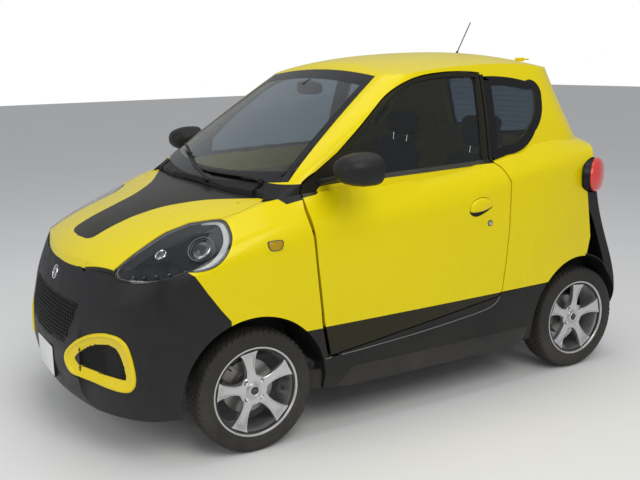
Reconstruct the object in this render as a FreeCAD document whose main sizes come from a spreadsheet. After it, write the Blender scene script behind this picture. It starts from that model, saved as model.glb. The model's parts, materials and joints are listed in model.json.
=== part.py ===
import FreeCAD, Part
import Sketcher
import math
import os
from FreeCAD import Vector

# A three-door electric microcar at full size, in millimetres.
# +X points forward, +Y to the car's left and +Z up. The origin is on the
# ground, under the middle of the car's length and width.

doc = FreeCAD.newDocument("microcar")
sheet = doc.addObject("Spreadsheet::Sheet", "Sizes")

SIZES = [
    ("body_length", 2765),
    ("body_width", 1540),
    ("wheelbase", 1765),
    ("rear_overhang", 365),
    ("wheel_centre_y", 672),
    ("tyre_radius", 252),
    ("tyre_width", 145),
    ("bead_radius", 165),
    ("rim_flange_radius", 184),
    ("rim_half_width", 67),
    ("arch_radius", 310),
    ("liner_radius", 316),
    ("liner_wall", 5),
    ("panel_wall", 24),
    ("door_wall", 70),
    ("pillar_wall", 42),
    ("roof_wall", 34),
    ("lid_wall", 18),
    ("tailgate_wall", 44),
    ("glass_wall", 5),
    ("glass_step", 6),
    ("glass_lap", 14),
    ("panel_gap", 0.6),
    ("moving_gap", 6),
    ("gate_gap", 8),
    ("seat_gap", 0.3),
    ("pin_clearance", 0.1),
    ("door_hinge_x", 400),
    ("door_hinge_y", 733),
    ("door_hinge_pin", 5),
    ("tailgate_hinge_x", -985),
    ("tailgate_hinge_z", 1508),
    ("gate_pin", 4),
    ("bonnet_hinge_x", 600),
    ("bonnet_hinge_z", 1012),
    ("bonnet_pin", 4),
    ("kingpin_y", 600),
    ("spindle_radius", 15),
    ("floor_z", 285),
    ("floor_wall", 14),
    ("battery_rear", -560),
    ("battery_length", 900),
    ("battery_width", 760),
    ("battery_height", 118),
    ("motor_length", 300),
    ("motor_width", 420),
    ("motor_height", 290),
    ("motor_rear", 130),
    ("motor_z", 180),
    ("shaft_radius", 13),
    ("shaft_reach", 560),
    ("seat_offset_y", 330),
    ("seat_width", 450),
    ("steering_radius", 178),
    ("steering_tilt", 25),
    ("column_radius", 20),
]

for row, (alias, value) in enumerate(SIZES, start=1):
    sheet.set("A%d" % row, alias)
    sheet.set("B%d" % row, str(value))
    sheet.setAlias("B%d" % row, alias)
doc.recompute()
size = {alias: float(sheet.get(alias)) for alias, value in SIZES}

half_length = size["body_length"] / 2
half_width = size["body_width"] / 2
rear_axle_x = size["rear_overhang"] - half_length
front_axle_x = rear_axle_x + size["wheelbase"]
axle_z = size["tyre_radius"]
BIG = 2000.0

pieces = []


def keep(label, shape):
    piece = doc.addObject("Part::Feature", label)
    piece.Label = label
    piece.Shape = shape
    pieces.append(piece)
    return piece


# Plane outlines: the first entry is the start point, an entry of two numbers
# is the end of a line, and one of four is an arc's middle point and end.
def outline_wire(entries, place):
    edges = []
    here = place(*entries[0])
    start = here
    for entry in entries[1:]:
        end = place(*entry[-2:])
        if len(entry) == 4:
            edges.append(Part.Arc(here, place(*entry[:2]), end).toShape())
        else:
            edges.append(Part.makeLine(here, end))
        here = end
    if here.distanceToPoint(start) > 1e-6:
        edges.append(Part.makeLine(here, start))
    return Part.Wire(edges)


def prism(entries, place, normal, low, high, grow=0.0):
    face = Part.Face(outline_wire(entries, place))
    if grow:
        face = face.makeOffset2D(grow)
    face.translate(normal * low)
    return face.extrude(normal * (high - low))


def side_prism(entries, low, high, grow=0.0):
    return prism(entries, lambda x, z: Vector(x, 0, z), Vector(0, 1, 0), low, high, grow)


def top_prism(entries, low, high, grow=0.0):
    return prism(entries, lambda x, y: Vector(x, y, 0), Vector(0, 0, 1), low, high, grow)


def front_prism(entries, low, high, grow=0.0):
    return prism(entries, lambda y, z: Vector(0, y, z), Vector(1, 0, 0), low, high, grow)


def box(x0, x1, y0, y1, z0, z1):
    return Part.makeBox(x1 - x0, y1 - y0, z1 - z0, Vector(x0, y0, z0))


def rod(start, end, radius):
    axis = end - start
    return Part.makeCylinder(radius, axis.Length, start, axis)


def upright(x, y, z0, z1, radius):
    return rod(Vector(x, y, z0), Vector(x, y, z1), radius)


def crosswise(x, z, y0, y1, radius):
    return rod(Vector(x, y0, z), Vector(x, y1, z), radius)


def mirrored(shape):
    return shape.mirror(Vector(0, 0, 0), Vector(0, 1, 0))


def both_sides(entries):
    return entries + [(x, -y) for x, y in reversed(entries)]


# Body form: horizontal outlines of eight tangent arcs, stacked and lofted.
# Each outline has a nose arc, a tail arc, two side arcs and four corner arcs.
def corner_centre(first, first_radius, second, second_radius, radius, forward):
    a = first_radius - radius
    b = second_radius - radius
    dx = second[0] - first[0]
    dy = second[1] - first[1]
    gap = math.hypot(dx, dy)
    along = (a * a - b * b + gap * gap) / (2 * gap)
    across = math.sqrt(a * a - along * along)
    foot = (first[0] + along * dx / gap, first[1] + along * dy / gap)
    choices = [(foot[0] - s * across * dy / gap, foot[1] + s * across * dx / gap) for s in (1, -1)]
    return max(choices, key=lambda c: forward * c[0] + c[1])


def on_circle(centre, radius, toward):
    dx = toward[0] - centre[0]
    dy = toward[1] - centre[1]
    length = math.hypot(dx, dy)
    return (centre[0] + dx / length * radius, centre[1] + dy / length * radius)


def plan_outline(z, nose, nose_radius, corner, half, middle, side_radius, tail, tail_radius, tail_corner):
    nose_centre = (nose - nose_radius, 0.0)
    side_centre = (middle, half - side_radius)
    tail_centre = (tail + tail_radius, 0.0)
    front = corner_centre(nose_centre, nose_radius, side_centre, side_radius, corner, 1)
    rear = corner_centre(tail_centre, tail_radius, side_centre, side_radius, tail_corner, -1)
    a = on_circle(nose_centre, nose_radius, front)
    b = on_circle(side_centre, side_radius, front)
    c = on_circle(side_centre, side_radius, rear)
    d = on_circle(tail_centre, tail_radius, rear)
    front_mid = on_circle(front, corner, ((a[0] + b[0]) / 2, (a[1] + b[1]) / 2))
    rear_mid = on_circle(rear, tail_corner, ((c[0] + d[0]) / 2, (c[1] + d[1]) / 2))
    side_mid = on_circle(side_centre, side_radius, ((b[0] + c[0]) / 2, (b[1] + c[1]) / 2))

    def at(point, side=1):
        return Vector(point[0], side * point[1], z)

    arcs = [
        (at(a, -1), Vector(nose, 0, z), at(a)),
        (at(a), at(front_mid), at(b)),
        (at(b), at(side_mid), at(c)),
        (at(c), at(rear_mid), at(d)),
        (at(d), Vector(tail, 0, z), at(d, -1)),
        (at(d, -1), at(rear_mid, -1), at(c, -1)),
        (at(c, -1), at(side_mid, -1), at(b, -1)),
        (at(b, -1), at(front_mid, -1), at(a, -1)),
    ]
    return Part.Wire([Part.Arc(*arc).toShape() for arc in arcs])


# Lower body: height, setback of the nose from the front end, nose radius,
# front corner radius, inset of the side, setback of the tail, tail radius
# and rear corner radius.
LOWER_LEVELS = [
    (200, 34, 1900, 280, 32, 34, 6000, 120),
    (265, 12, 1950, 300, 15, 6, 6000, 120),
    (385, 0, 1950, 300, 6, 0, 6000, 120),
    (560, 32, 1950, 300, 0, 37, 5000, 150),
    (756, 106, 1850, 300, 0, 84, 4000, 200),
    (960, 206, 1800, 300, 4, 127, 4000, 200),
    (1200, 322, 1800, 300, 12, 222, 4000, 200),
]
SIDE_MIDDLE = -150.0
SIDE_RADIUS = 30000.0

# Greenhouse: height, windscreen's middle, its radius, corner radius, half
# width, the side glass's radius, tail, tail radius and rear corner radius.
UPPER_LEVELS = [
    (940, 770, 3000, 90, 706, 9000, -1270, 3500, 200),
    (1051, 612, 3000, 95, 690, 9000, -1240, 3500, 200),
    (1250, 330, 3000, 120, 640, 9000, -1150, 3500, 200),
    (1440, 48, 3000, 140, 578, 9000, -1080, 3500, 200),
    (1600, -200, 3000, 140, 515, 9000, -1040, 3500, 200),
]
UPPER_MIDDLE = -280.0

# Shoulder and bonnet sections across the car: station, height of the crown
# on the middle line, shoulder edge and its height, the crease's height where
# the shoulder's slope meets the widest side, the radius that rounds it there
# and how far outside the side's surface that round starts.
SHOULDER_STATIONS = [
    (1460, 520, 470, 480, 330, 40, 200),
    (1290, 733, 500, 690, 560, 60, 12),
    (1186, 826, 540, 765, 660, 70, 12),
    (1000, 905, 590, 850, 760, 90, 10),
    (800, 962, 625, 925, 835, 120, 1.5),
    (600, 1006, 655, 990, 855, 160, 1.5),
    (400, 1040, 690, 1012, 868, 180, 1.5),
    (-50, 1100, 690, 1022, 922, 180, 1.5),
    (-450, 1150, 684, 1072, 985, 140, 1.5),
    (-800, 1200, 672, 1125, 1022, 120, 1.5),
    (-1100, 1200, 655, 1108, 1030, 80, 8),
    (-1460, 1110, 620, 1060, 1010, 40, 200),
]

# Roof profile on the middle line, and how far it drops towards the sides.
ROOF_PROFILE = [
    (400, 1330), (130, 1462), (-60, 1513), (-300, 1543),
    (-520, 1552), (-800, 1545), (-1000, 1515), (-1250, 1440),
]
ROOF_DROPS = [(-700, 95), (-350, 24), (0, 0), (350, 24), (700, 95)]


def side_at(x, z):
    low, high = [(a, b) for a, b in zip(LOWER_LEVELS, LOWER_LEVELS[1:]) if a[0] <= z <= b[0]][0]
    part = (z - low[0]) / (high[0] - low[0])
    level = [a + (b - a) * part for a, b in zip(low[1:], high[1:])]
    nose, nose_r, corner, side, tail, tail_r, tail_corner = level
    half = half_width - side
    side_centre = (SIDE_MIDDLE, half - SIDE_RADIUS)
    ends = (
        (1, (half_length - nose - nose_r, 0.0), nose_r, corner),
        (-1, (tail - half_length + tail_r, 0.0), tail_r, tail_corner),
    )
    for forward, end_centre, end_r, corner_r in ends:
        centre = corner_centre(end_centre, end_r, side_centre, SIDE_RADIUS, corner_r, forward)
        reach = forward * (x - centre[0])
        if reach > 0:
            return centre[1] + math.sqrt(max(corner_r ** 2 - reach ** 2, 0.0))
    return side_centre[1] + math.sqrt(SIDE_RADIUS ** 2 - (x - SIDE_MIDDLE) ** 2)


def shoulder_section(x, crown, edge_y, edge_z, crease_z, round_r, margin, inset):
    slope = (edge_z - crease_z) / (half_width - edge_y)
    start_y = side_at(x, crease_z) + margin
    start_z = edge_z - slope * (start_y - edge_y)
    turn = math.atan2(1.0, slope)
    tangent = round_r * math.tan(turn / 2)
    length = math.hypot(1.0, slope)
    centre = Vector(x, start_y - round_r, start_z - tangent)
    foot = Vector(x, start_y, SECTION_FOOT)
    low = Vector(x, start_y, start_z - tangent)
    middle = centre + Vector(0, round_r * math.cos(turn / 2), round_r * math.sin(turn / 2))
    high = Vector(x, start_y - tangent / length, start_z + tangent * slope / length)
    edge = Vector(x, edge_y, edge_z)

    def far(point):
        return Vector(point.x, -point.y, point.z)

    return Part.Wire([
        Part.makeLine(foot, low), Part.Arc(low, middle, high).toShape(), Part.makeLine(high, edge),
        Part.Arc(edge, Vector(x, 0, crown), far(edge)).toShape(), Part.makeLine(far(edge), far(high)),
        Part.Arc(far(high), far(middle), far(low)).toShape(), Part.makeLine(far(low), far(foot)),
        Part.makeLine(far(foot), foot),
    ])


def inner_section(x, crown, edge_y, edge_z, crease_z, round_r, margin, inset):
    slope = (edge_z - crease_z) / (half_width - edge_y)
    edge = (edge_y - inset * 0.5, edge_z - inset * 1.2)
    outer_y = half_width + 130
    points = [(outer_y, SECTION_FOOT), (outer_y, edge[1] - slope * (outer_y - edge[0])), edge,
              (edge_y * 0.55, edge_z + (crown - edge_z) * 0.66 - inset * 1.2)]
    points += [(-y, z) for y, z in reversed(points)]
    return Part.makePolygon([Vector(x, y, z) for y, z in points + points[:1]])


# The outside is smooth. The inside faces of the panels are ruled from fewer sections.
SECTION_FOOT = 50.0


def lower_parts(inset):
    inside = inset > 0
    wires = []
    levels = LOWER_LEVELS[::2] if inside else LOWER_LEVELS
    for z, nose, nose_r, corner, side, tail, tail_r, tail_corner in levels:
        low = LOWER_LEVELS[0][0] / 2 if inside and z == LOWER_LEVELS[0][0] else 0.0
        wires.append(plan_outline(
            z - low, half_length - nose - inset, nose_r - inset, corner - inset,
            half_width - side - inset, SIDE_MIDDLE, SIDE_RADIUS - inset,
            tail - half_length + inset, tail_r - inset, tail_corner - inset))
    sides = Part.makeLoft(wires, True, inside, False)
    section = inner_section if inside else shoulder_section
    stations = [section(*(row + (inset,))) for row in SHOULDER_STATIONS]
    return sides, Part.makeLoft(stations, True, inside, False)


def lower_form(inset):
    sides, top = lower_parts(inset)
    return top.common(sides) if inset > 0 else sides.common(top)


def roof_form(inset):
    inside = inset > GLASS_DEPTH
    sections = []
    for y, drop in ROOF_DROPS:
        points = [Vector(x, y, z - drop - inset) for x, z in ROOF_PROFILE]
        if inside:
            crown = [Part.makeLine(p, q) for p, q in zip(points, points[1:])]
        else:
            curve = Part.BSplineCurve()
            curve.interpolate(points)
            crown = [curve.toShape()]
        rear_z = points[-1].z - 120
        corners = [points[-1], Vector(-1500, y, rear_z), Vector(-1500, y, 600), Vector(1500, y, 600),
                   Vector(1500, y, points[0].z - 500), points[0]]
        lines = [Part.makeLine(p, q) for p, q in zip(corners, corners[1:])]
        sections.append(Part.Wire(crown + lines))
    return Part.makeLoft(sections, True, inside, False)


def upper_form(inset):
    wires = []
    for z, front, front_r, corner, half, side_r, tail, tail_r, tail_corner in UPPER_LEVELS:
        wires.append(plan_outline(
            z, front - inset, front_r - inset, corner - inset, half - inset, UPPER_MIDDLE,
            side_r - inset, tail + inset, tail_r - inset, tail_corner - inset))
    return Part.makeLoft(wires, True, inset > GLASS_DEPTH, False).common(roof_form(inset))


# Insets up to this one are glass and stay smooth; deeper ones are ruled.
GLASS_DEPTH = 6.5
outer_lower = lower_form(0.0)
outer_upper = upper_form(0.0)
outer = outer_lower.fuse(outer_upper)
door_inner = lower_form(size["door_wall"]).fuse(upper_form(size["pillar_wall"])).fuse(
    box(-700, 560, -648, 648, 800, 960))
panel_inner = lower_form(size["panel_wall"])
lid_inner = lower_form(size["lid_wall"])
roof_inner = upper_form(size["roof_wall"])
gate_inner = lower_form(size["tailgate_wall"]).fuse(upper_form(size["tailgate_wall"]))
RULED_SAG = 2.0
glass_flush = upper_form(1.0)
glass_flush_back = upper_form(1.0 + size["glass_wall"])
glass_step_cut = upper_form(1.0 + size["glass_wall"] + size["seat_gap"])
glass_deep = upper_form(size["glass_step"])
glass_deep_back = upper_form(size["glass_step"] + size["glass_wall"] + RULED_SAG)
glass_deep_cut = upper_form(size["glass_step"] - size["seat_gap"])

# Outlines in the side view, as x and z.
DOOR = [
    (413, 345), (442, 493), (468, 754), (478, 889), (488, 1008), (478, 1040), (300, 1152), (190, 1238),
    (45, 1353), (-66, 1414, -194, 1449), (-335, 1460, -505, 1452), (-472, 1069), (-510, 1040), (-541, 971),
    (-535, 764), (-520, 619), (-500, 478), (-480, 455),
]
DOOR_WINDOW = [
    (286, 1050), (286, 1126), (185, 1220), (50, 1325), (-70, 1401, -194, 1432), (-335, 1443, -479, 1436),
    (-441, 1069), (-200, 1062),
]
QUARTER_WINDOW = [
    (-493, 1064), (-528, 1438), (-663, 1432, -788, 1410), (-868, 1388, -876, 1330), (-850, 1240, -796, 1180),
    (-714, 1112, -599, 1086),
]
FENDER = [
    (500, 1100), (1010, 1100), (1010, 775), (984, 757), (939, 686), (891, 617), (849, 563), (849, 467),
    (444, 467), (447, 493), (474, 754), (484, 889), (494, 1008),
]
SIDE_FRAME = [
    (300, 1045), (640, 1045), (640, 1600), (-1500, 1600), (-1500, 880), (-1070, 880), (-1110, 650),
    (-1086, 560), (-1086, 471), (300, 471),
]
FRONT_BUMPER = [
    (1500, 900), (1500, 150), (700, 150), (700, 467), (849, 467), (849, 563), (891, 617), (939, 686),
    (984, 757), (1010, 775), (1010, 900),
]
REAR_BUMPER = [
    (-1500, 880), (-1070, 880), (-1110, 650), (-1086, 560), (-1086, 150), (-1500, 150),
]
SILL = [
    (-787, 187), (600, 187), (600, 467), (-787, 467),
]
# Outlines in the top view, as x and y, of the left half.
BONNET_HALF = [
    (672, 0), (660, 300), (618, 590), (640, 612), (732, 614), (796, 584), (827, 540), (887, 478), (985, 456),
    (1095, 473), (1211, 486), (1263, 284), (1290, 0),
]
# The room behind the nose, inside the bumper's corners
NOSE_ROOM_HALF = [
    (600, 746), (1040, 726), (1095, 694), (1192, 604), (1227, 552), (1255, 495), (1277, 437), (1297, 382),
    (1340, 260), (1400, 120),
]
ROOF_HALF = [(60, 0), (60, 455), (-979, 455), (-979, 0)]
COWL_HALF = [
    (678, 0), (666, 300), (624, 590), (633, 612), (560, 680), (470, 690), (470, 600), (560, 300), (590, 0),
]
# Outlines in the front view, as y and z.
WINDSCREEN = [(-632, 1054), (0, 1022, 632, 1054), (468, 1452), (0, 1480, -468, 1452)]
TAILGATE = [
    (-500, 655), (500, 655), (520, 1000), (455, 1260), (400, 1450), (400, 1600), (-400, 1600), (-400, 1450),
    (-455, 1260), (-520, 1000),
]
REAR_WINDOW = [(-425, 1095), (0, 1085, 425, 1095), (370, 1420), (0, 1440, -370, 1420)]

# Headlamp outline in its own plane: u runs back along the lamp, v up.
LAMP_ORIGIN = Vector(1000, 600, 830)
LAMP_NORMAL = Vector(0.38, 0.60, 0.70).normalize()
LAMP_BACK = Vector(-1, 0.3, 0.3)
LAMP = [(-250, 12), (-150, 92, 0, 140), (150, 140, 222, 0), (170, -112, 18, -134), (-150, -105, -246, -10)]
FOG_ORIGIN = Vector(1300, 480, 425)
FOG_NORMAL = Vector(0.88, 0.47, 0.0).normalize()
FOG_BACK = Vector(-0.47, 0.88, 0)


def plane_place(origin, normal, along):
    along = (along - normal * normal.dot(along)).normalize()
    across = normal.cross(along)

    def place(u, v):
        return origin + along * u + across * v
    return place


def lamp_prism(grow=0.0):
    return prism(LAMP, plane_place(LAMP_ORIGIN, LAMP_NORMAL, LAMP_BACK), LAMP_NORMAL, -170, 200, grow)


# Fog lamp surround and its opening, in a plane that faces forward and out
FOG_OUTER = [(-218, -40), (-200, 10, -150, 38), (90, 112), (160, 108, 184, 55), (200, -20, 190, -80),
             (182, -104, 150, -108), (-170, -108), (-212, -96, -218, -40)]
FOG_INNER = [
    (-108, -10), (-92, 26, -54, 37), (72, 66), (130, 68, 152, 36), (170, -10, 164, -50), (30, -39),
    (-90, -28),
]
FOG_STEP = 14.0


def fog_prism(outline, grow=0.0):
    return prism(outline, plane_place(FOG_ORIGIN, FOG_NORMAL, FOG_BACK), FOG_NORMAL, -200, 200, grow)


# Tail lamp: distance out along its axis, half width and half height
TAIL_LAMP_ORIGIN = Vector(-1140, 742, 955)
TAIL_LAMP_NORMAL = Vector(-0.53, 0.85, 0).normalize()
TAIL_LAMP_ROOT = (-60, 115, 88)
TAIL_LAMP_ROOT_DEPTH = 36.0
TAIL_LAMP_SECTIONS = [(-26, 109, 84), (-14, 101, 82), (-4, 87, 77), (6, 66, 62), (12, 36, 32)]


def tail_lamp_section(out, half_u, half_v, grow=0.0):
    along = Vector(0, 0, 1).cross(TAIL_LAMP_NORMAL)
    centre = TAIL_LAMP_ORIGIN + TAIL_LAMP_NORMAL * out
    ellipse = Part.Ellipse(centre + along * (half_u + grow), centre + Vector(0, 0, half_v + grow), centre)
    return Part.Wire([ellipse.toShape()])


def tail_lamp():
    root = Part.Face(tail_lamp_section(*TAIL_LAMP_ROOT)).extrude(TAIL_LAMP_NORMAL * TAIL_LAMP_ROOT_DEPTH)
    return root.fuse(Part.makeLoft([tail_lamp_section(*row) for row in TAIL_LAMP_SECTIONS], True, False))


def tail_lamp_hole():
    out, half_u, half_v = TAIL_LAMP_ROOT
    face = Part.Face(tail_lamp_section(out - 10, half_u, half_v, size["seat_gap"]))
    return face.extrude(TAIL_LAMP_NORMAL * 200)


def arch_cut(x, radius, low, high):
    return Part.makeCylinder(radius, high - low, Vector(x, low, axle_z), Vector(0, 1, 0))


fixed = size["panel_gap"]
moving = size["moving_gap"]
arches_left = arch_cut(front_axle_x, size["arch_radius"], 300, 1000).fuse(
    arch_cut(rear_axle_x, size["arch_radius"], 300, 1000))
liner_outer = size["liner_radius"] + size["liner_wall"] + size["seat_gap"]
liners_left = arch_cut(front_axle_x, liner_outer, 300, 1000).fuse(
    arch_cut(rear_axle_x, liner_outer, 300, 1000)).common(panel_inner)

# The room that the door's front edge needs as it swings: a cone about the
# hinge's axis, wider towards the top, where the edge lies further forward.
hinge_x = size["door_hinge_x"]
hinge_y = size["door_hinge_y"]
SWING_PROFILE = [
    (0, 335), (36, 335), (62, 490), (84, 754), (94, 889), (104, 1010), (110, 1050), (60, 1110), (0, 1110),
]
swing = outline_wire(SWING_PROFILE, lambda r, z: Vector(hinge_x + r, hinge_y, z))
door_swing = Part.Face(swing).revolve(Vector(hinge_x, hinge_y, 0), Vector(0, 0, 1), 360)

door_region = side_prism(DOOR, 300, 900)
door_opening = side_prism(DOOR, 300, 900, moving)
bonnet_region = top_prism(both_sides(BONNET_HALF[1:-1]), 400, 1100)
bonnet_opening = top_prism(both_sides(BONNET_HALF[1:-1]), 400, 1100, moving)
tailgate_region = front_prism(TAILGATE, -1500, -900)
tailgate_opening = front_prism(TAILGATE, -1500, -900, size["gate_gap"])
gate_x = size["tailgate_hinge_x"]
gate_z = size["tailgate_hinge_z"]
gate_front = box(gate_x, 0, -BIG, BIG, 1300, 1700)
GATE_EYE = 9.0
GATE_EYES = [(300, 340), (352, 392)]
GATE_PLATES = [(342, 350)]
gate_room = crosswise(gate_x, gate_z, -BIG, BIG, GATE_EYE + moving)


def leaf(shape):
    solids = sorted(shape.Solids, key=lambda s: s.Volume, reverse=True)
    return solids[0]


# Doors
door_shell = outer.common(door_region).cut(door_inner)
door_shell = door_shell.cut(side_prism(DOOR_WINDOW, 300, 900))
pocket = side_prism(DOOR_WINDOW, 300, 900, size["glass_lap"]).common(glass_deep_cut)
door_shell = door_shell.cut(pocket)
door_glass_region = side_prism(DOOR_WINDOW, 300, 900, size["glass_lap"] - size["seat_gap"])
door_glass = glass_deep.cut(glass_deep_back).common(door_glass_region)
HINGE_HEIGHTS = (520.0, 860.0)
pin_r = size["door_hinge_pin"]
for hinge_z in HINGE_HEIGHTS:
    slot = box(hinge_x - 32, 600, 600, hinge_y + 15, hinge_z - 9, hinge_z + 9)
    bore = upright(hinge_x, hinge_y, hinge_z - 36, hinge_z + 36, pin_r + size["pin_clearance"])
    door_shell = door_shell.cut(slot.fuse(bore))
door_shell = leaf(door_shell)


# Door mirror: sections along the car, as x, half width and half height
MIRROR_SECTIONS = [(278, 84, 56), (284, 90, 64), (350, 90, 65), (405, 72, 52), (436, 38, 27)]
MIRROR_CENTRE = (868, 1112)
MIRROR_CORNER = 0.45
STALK_ROOT = (388, 630, 1040, 30, 16)
STALK_END = (370, 830, 1082, 24, 12)


def octagon(x, half_y, half_z):
    y, z = MIRROR_CENTRE
    a = half_y * (1 - MIRROR_CORNER)
    b = half_z * (1 - MIRROR_CORNER)
    upper = [(half_y, b), (a, half_z), (-a, half_z), (-half_y, b)]
    corners = upper + [(-u, -v) for u, v in upper]
    points = [Vector(x, y + u, z + v) for u, v in corners]
    return Part.makePolygon(points + points[:1])


def stalk_end(x, y, z, half_x, half_z):
    return outline_wire([(-half_x, -half_z), (half_x, -half_z), (half_x, half_z), (-half_x, half_z)],
                        lambda a, b: Vector(x + a, y, z + b))


def mirror_piece():
    shell = Part.makeLoft([octagon(*section) for section in MIRROR_SECTIONS], True, True)
    stalk = Part.makeLoft([stalk_end(*STALK_ROOT), stalk_end(*STALK_END)], True, True)
    return shell.fuse(stalk)


mirror_left = leaf(mirror_piece().cut(outer).cut(box(-BIG, BIG, 0, 630, 0, BIG)))

for name, flip in (("left", False), ("right", True)):
    for label, shape in (("door_%s" % name, door_shell), ("door_glass_%s" % name, door_glass),
                         ("mirror_%s" % name, mirror_left)):
        keep(label, mirrored(shape) if flip else shape)

# Tailgate
tailgate = outer.common(tailgate_region).cut(gate_inner).cut(gate_front)
for low, high in GATE_PLATES:
    slot = box(gate_x - 16, gate_x + 16, low - 2, high + 2, gate_z - 16, gate_z + 16)
    tailgate = tailgate.cut(slot).cut(mirrored(slot))
for low, high in GATE_EYES:
    gate_eye = crosswise(gate_x, gate_z, low, high, GATE_EYE)
    tailgate = tailgate.fuse(gate_eye).fuse(mirrored(gate_eye))
gate_pin = size["gate_pin"]
tailgate = tailgate.cut(crosswise(gate_x, gate_z, -BIG, BIG, gate_pin + size["pin_clearance"]))
window_open = front_prism(REAR_WINDOW, -1500, -900, -size["glass_lap"])
window_step = front_prism(REAR_WINDOW, -1500, -900, 0.5).cut(glass_step_cut)
tailgate = leaf(tailgate.cut(window_open).cut(window_step))
keep("tailgate", tailgate)
keep("tailgate_glass", glass_flush.cut(glass_flush_back).common(front_prism(REAR_WINDOW, -1500, -900)))

# Bonnet
bonnet_x = size["bonnet_hinge_x"]
bonnet_z = size["bonnet_hinge_z"]
bonnet_pin = size["bonnet_pin"]
BONNET_EYE = 8.0
BONNET_EYE_SPAN = (512, 528)
BONNET_ARM = [
    (593, 1008), (604, 975), (650, 948), (700, 948), (700, 975), (640, 972), (618, 985), (607, 1012),
]
eye = crosswise(bonnet_x, bonnet_z, *BONNET_EYE_SPAN, BONNET_EYE)
eye = eye.fuse(side_prism(BONNET_ARM, *BONNET_EYE_SPAN))
eye = eye.cut(crosswise(bonnet_x, bonnet_z, 400, 640, bonnet_pin + size["pin_clearance"]))
bonnet = outer_lower.common(bonnet_region).cut(lid_inner).fuse(eye).fuse(mirrored(eye))
keep("bonnet_lid", leaf(bonnet))

# Fenders and front bumper
cowl_region = top_prism(both_sides(COWL_HALF[1:-1]), 900, 1045)
cowl_opening = top_prism(both_sides(COWL_HALF[1:-1]), 900, 1045 + fixed, fixed)
fender = outer_lower.common(side_prism(FENDER, 300, 900)).cut(panel_inner)
for cutter in (bonnet_opening, lamp_prism(fixed), cowl_opening, arches_left, door_swing, outer_upper):
    fender = fender.cut(cutter)
fender = leaf(fender)
bumper_region = side_prism(FRONT_BUMPER, -900, 900, -fixed)
nose_sides, nose_top = lower_parts(size["panel_wall"])
nose_room = side_prism(FRONT_BUMPER, -900, 900).common(nose_top).common(nose_sides)
nose_room = nose_room.common(top_prism(both_sides(NOSE_ROOM_HALF), 100, 1000))
front_bumper = outer_lower.common(bumper_region).cut(nose_room)
both_lamps = lamp_prism(fixed).fuse(mirrored(lamp_prism(fixed)))
both_arches = arches_left.fuse(mirrored(arches_left))
front_bumper = leaf(front_bumper.cut(bonnet_opening).cut(both_lamps).cut(both_arches))
fog_outer = fog_prism(FOG_OUTER, fixed)
fog_face = outer_lower.common(fog_prism(FOG_OUTER))
fog_back = outer_lower.copy()
fog_back.translate(FOG_NORMAL * -(FOG_STEP - size["seat_gap"]))
fog_ring = fog_face.cut(fog_back).cut(fog_prism(FOG_INNER))
fog_floor = front_bumper.common(fog_outer)
fog_floor.translate(FOG_NORMAL * -FOG_STEP)
front_bumper = front_bumper.cut(fog_outer).cut(mirrored(fog_outer)).fuse(fog_floor).fuse(mirrored(fog_floor))
front_bumper = leaf(front_bumper)
fog_ring = leaf(fog_ring.cut(front_bumper))
keep("front_bumper", front_bumper)
keep("fog_surrounds", Part.makeCompound([fog_ring, mirrored(fog_ring)]))
keep("fender_left", fender)
keep("fender_right", mirrored(fender))
lamp_body = outer_lower.cut(lower_form(60.0)).common(lamp_prism()).cut(bonnet_opening)
lamp_body = leaf(lamp_body)
keep("headlamps", Part.makeCompound([lamp_body, mirrored(lamp_body)]))

# Cowl and windscreen
windscreen_region = front_prism(WINDSCREEN, -200, 900)
windscreen_open = front_prism(WINDSCREEN, -200, 900, -26)
windscreen_step = front_prism(WINDSCREEN, -200, 900, 0.5).cut(glass_step_cut)
keep("windscreen", glass_flush.cut(glass_flush_back).common(windscreen_region))
cowl = outer.common(cowl_region).cut(lower_form(size["lid_wall"]).fuse(roof_inner))
cowl_notch = box(580, 640, BONNET_EYE_SPAN[0] - 8, BONNET_EYE_SPAN[1] + 8, 900, 1100)
for cutter in (windscreen_open, windscreen_step, bonnet_opening):
    cowl = cowl.cut(cutter)
for cutter in (door_swing, door_opening, cowl_notch):
    cowl = cowl.cut(cutter).cut(mirrored(cutter))
keep("cowl_panel", leaf(cowl))

# Side frames
frame = outer.common(side_prism(SIDE_FRAME, 200, 900)).cut(door_inner)
quarter_open = side_prism(QUARTER_WINDOW, 300, 900, -18)
quarter_step = side_prism(QUARTER_WINDOW, 300, 900, 0.5).cut(glass_step_cut)
roof_region = top_prism(both_sides(ROOF_HALF[1:-1]), 1300, 1700)
roof_opening = top_prism(both_sides(ROOF_HALF[1:-1]), 1300, 1700, fixed)
for cutter in (door_opening, windscreen_open, windscreen_step, quarter_open, quarter_step, roof_opening,
               tailgate_opening, arches_left, liners_left, door_swing, tail_lamp_hole()):
    frame = frame.cut(cutter)
side_frame = leaf(frame)
keep("side_frame_left", side_frame)
keep("side_frame_right", mirrored(side_frame))
quarter_glass = glass_flush.cut(glass_flush_back).common(side_prism(QUARTER_WINDOW, 300, 900))
keep("quarter_glasses", Part.makeCompound([quarter_glass, mirrored(quarter_glass)]))

# Roof
roof = outer_upper.cut(roof_inner).common(roof_region)
gate_behind = box(gate_x + 6, 0, -BIG, BIG, 0, BIG)
for cutter in (windscreen_open, windscreen_step, tailgate_opening.cut(gate_behind), gate_room):
    roof = roof.cut(cutter)
for low, high in GATE_PLATES:
    plate = crosswise(gate_x, gate_z, low, high, GATE_EYE)
    plate = plate.fuse(box(gate_x, gate_x + 24, low, high, gate_z - 9, gate_z + 1))
    plate = plate.fuse(crosswise(gate_x, gate_z, GATE_EYES[0][0] + 4, GATE_EYES[-1][1] - 4, gate_pin))
    roof = roof.fuse(plate).fuse(mirrored(plate))
keep("roof_panel", leaf(roof))

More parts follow.
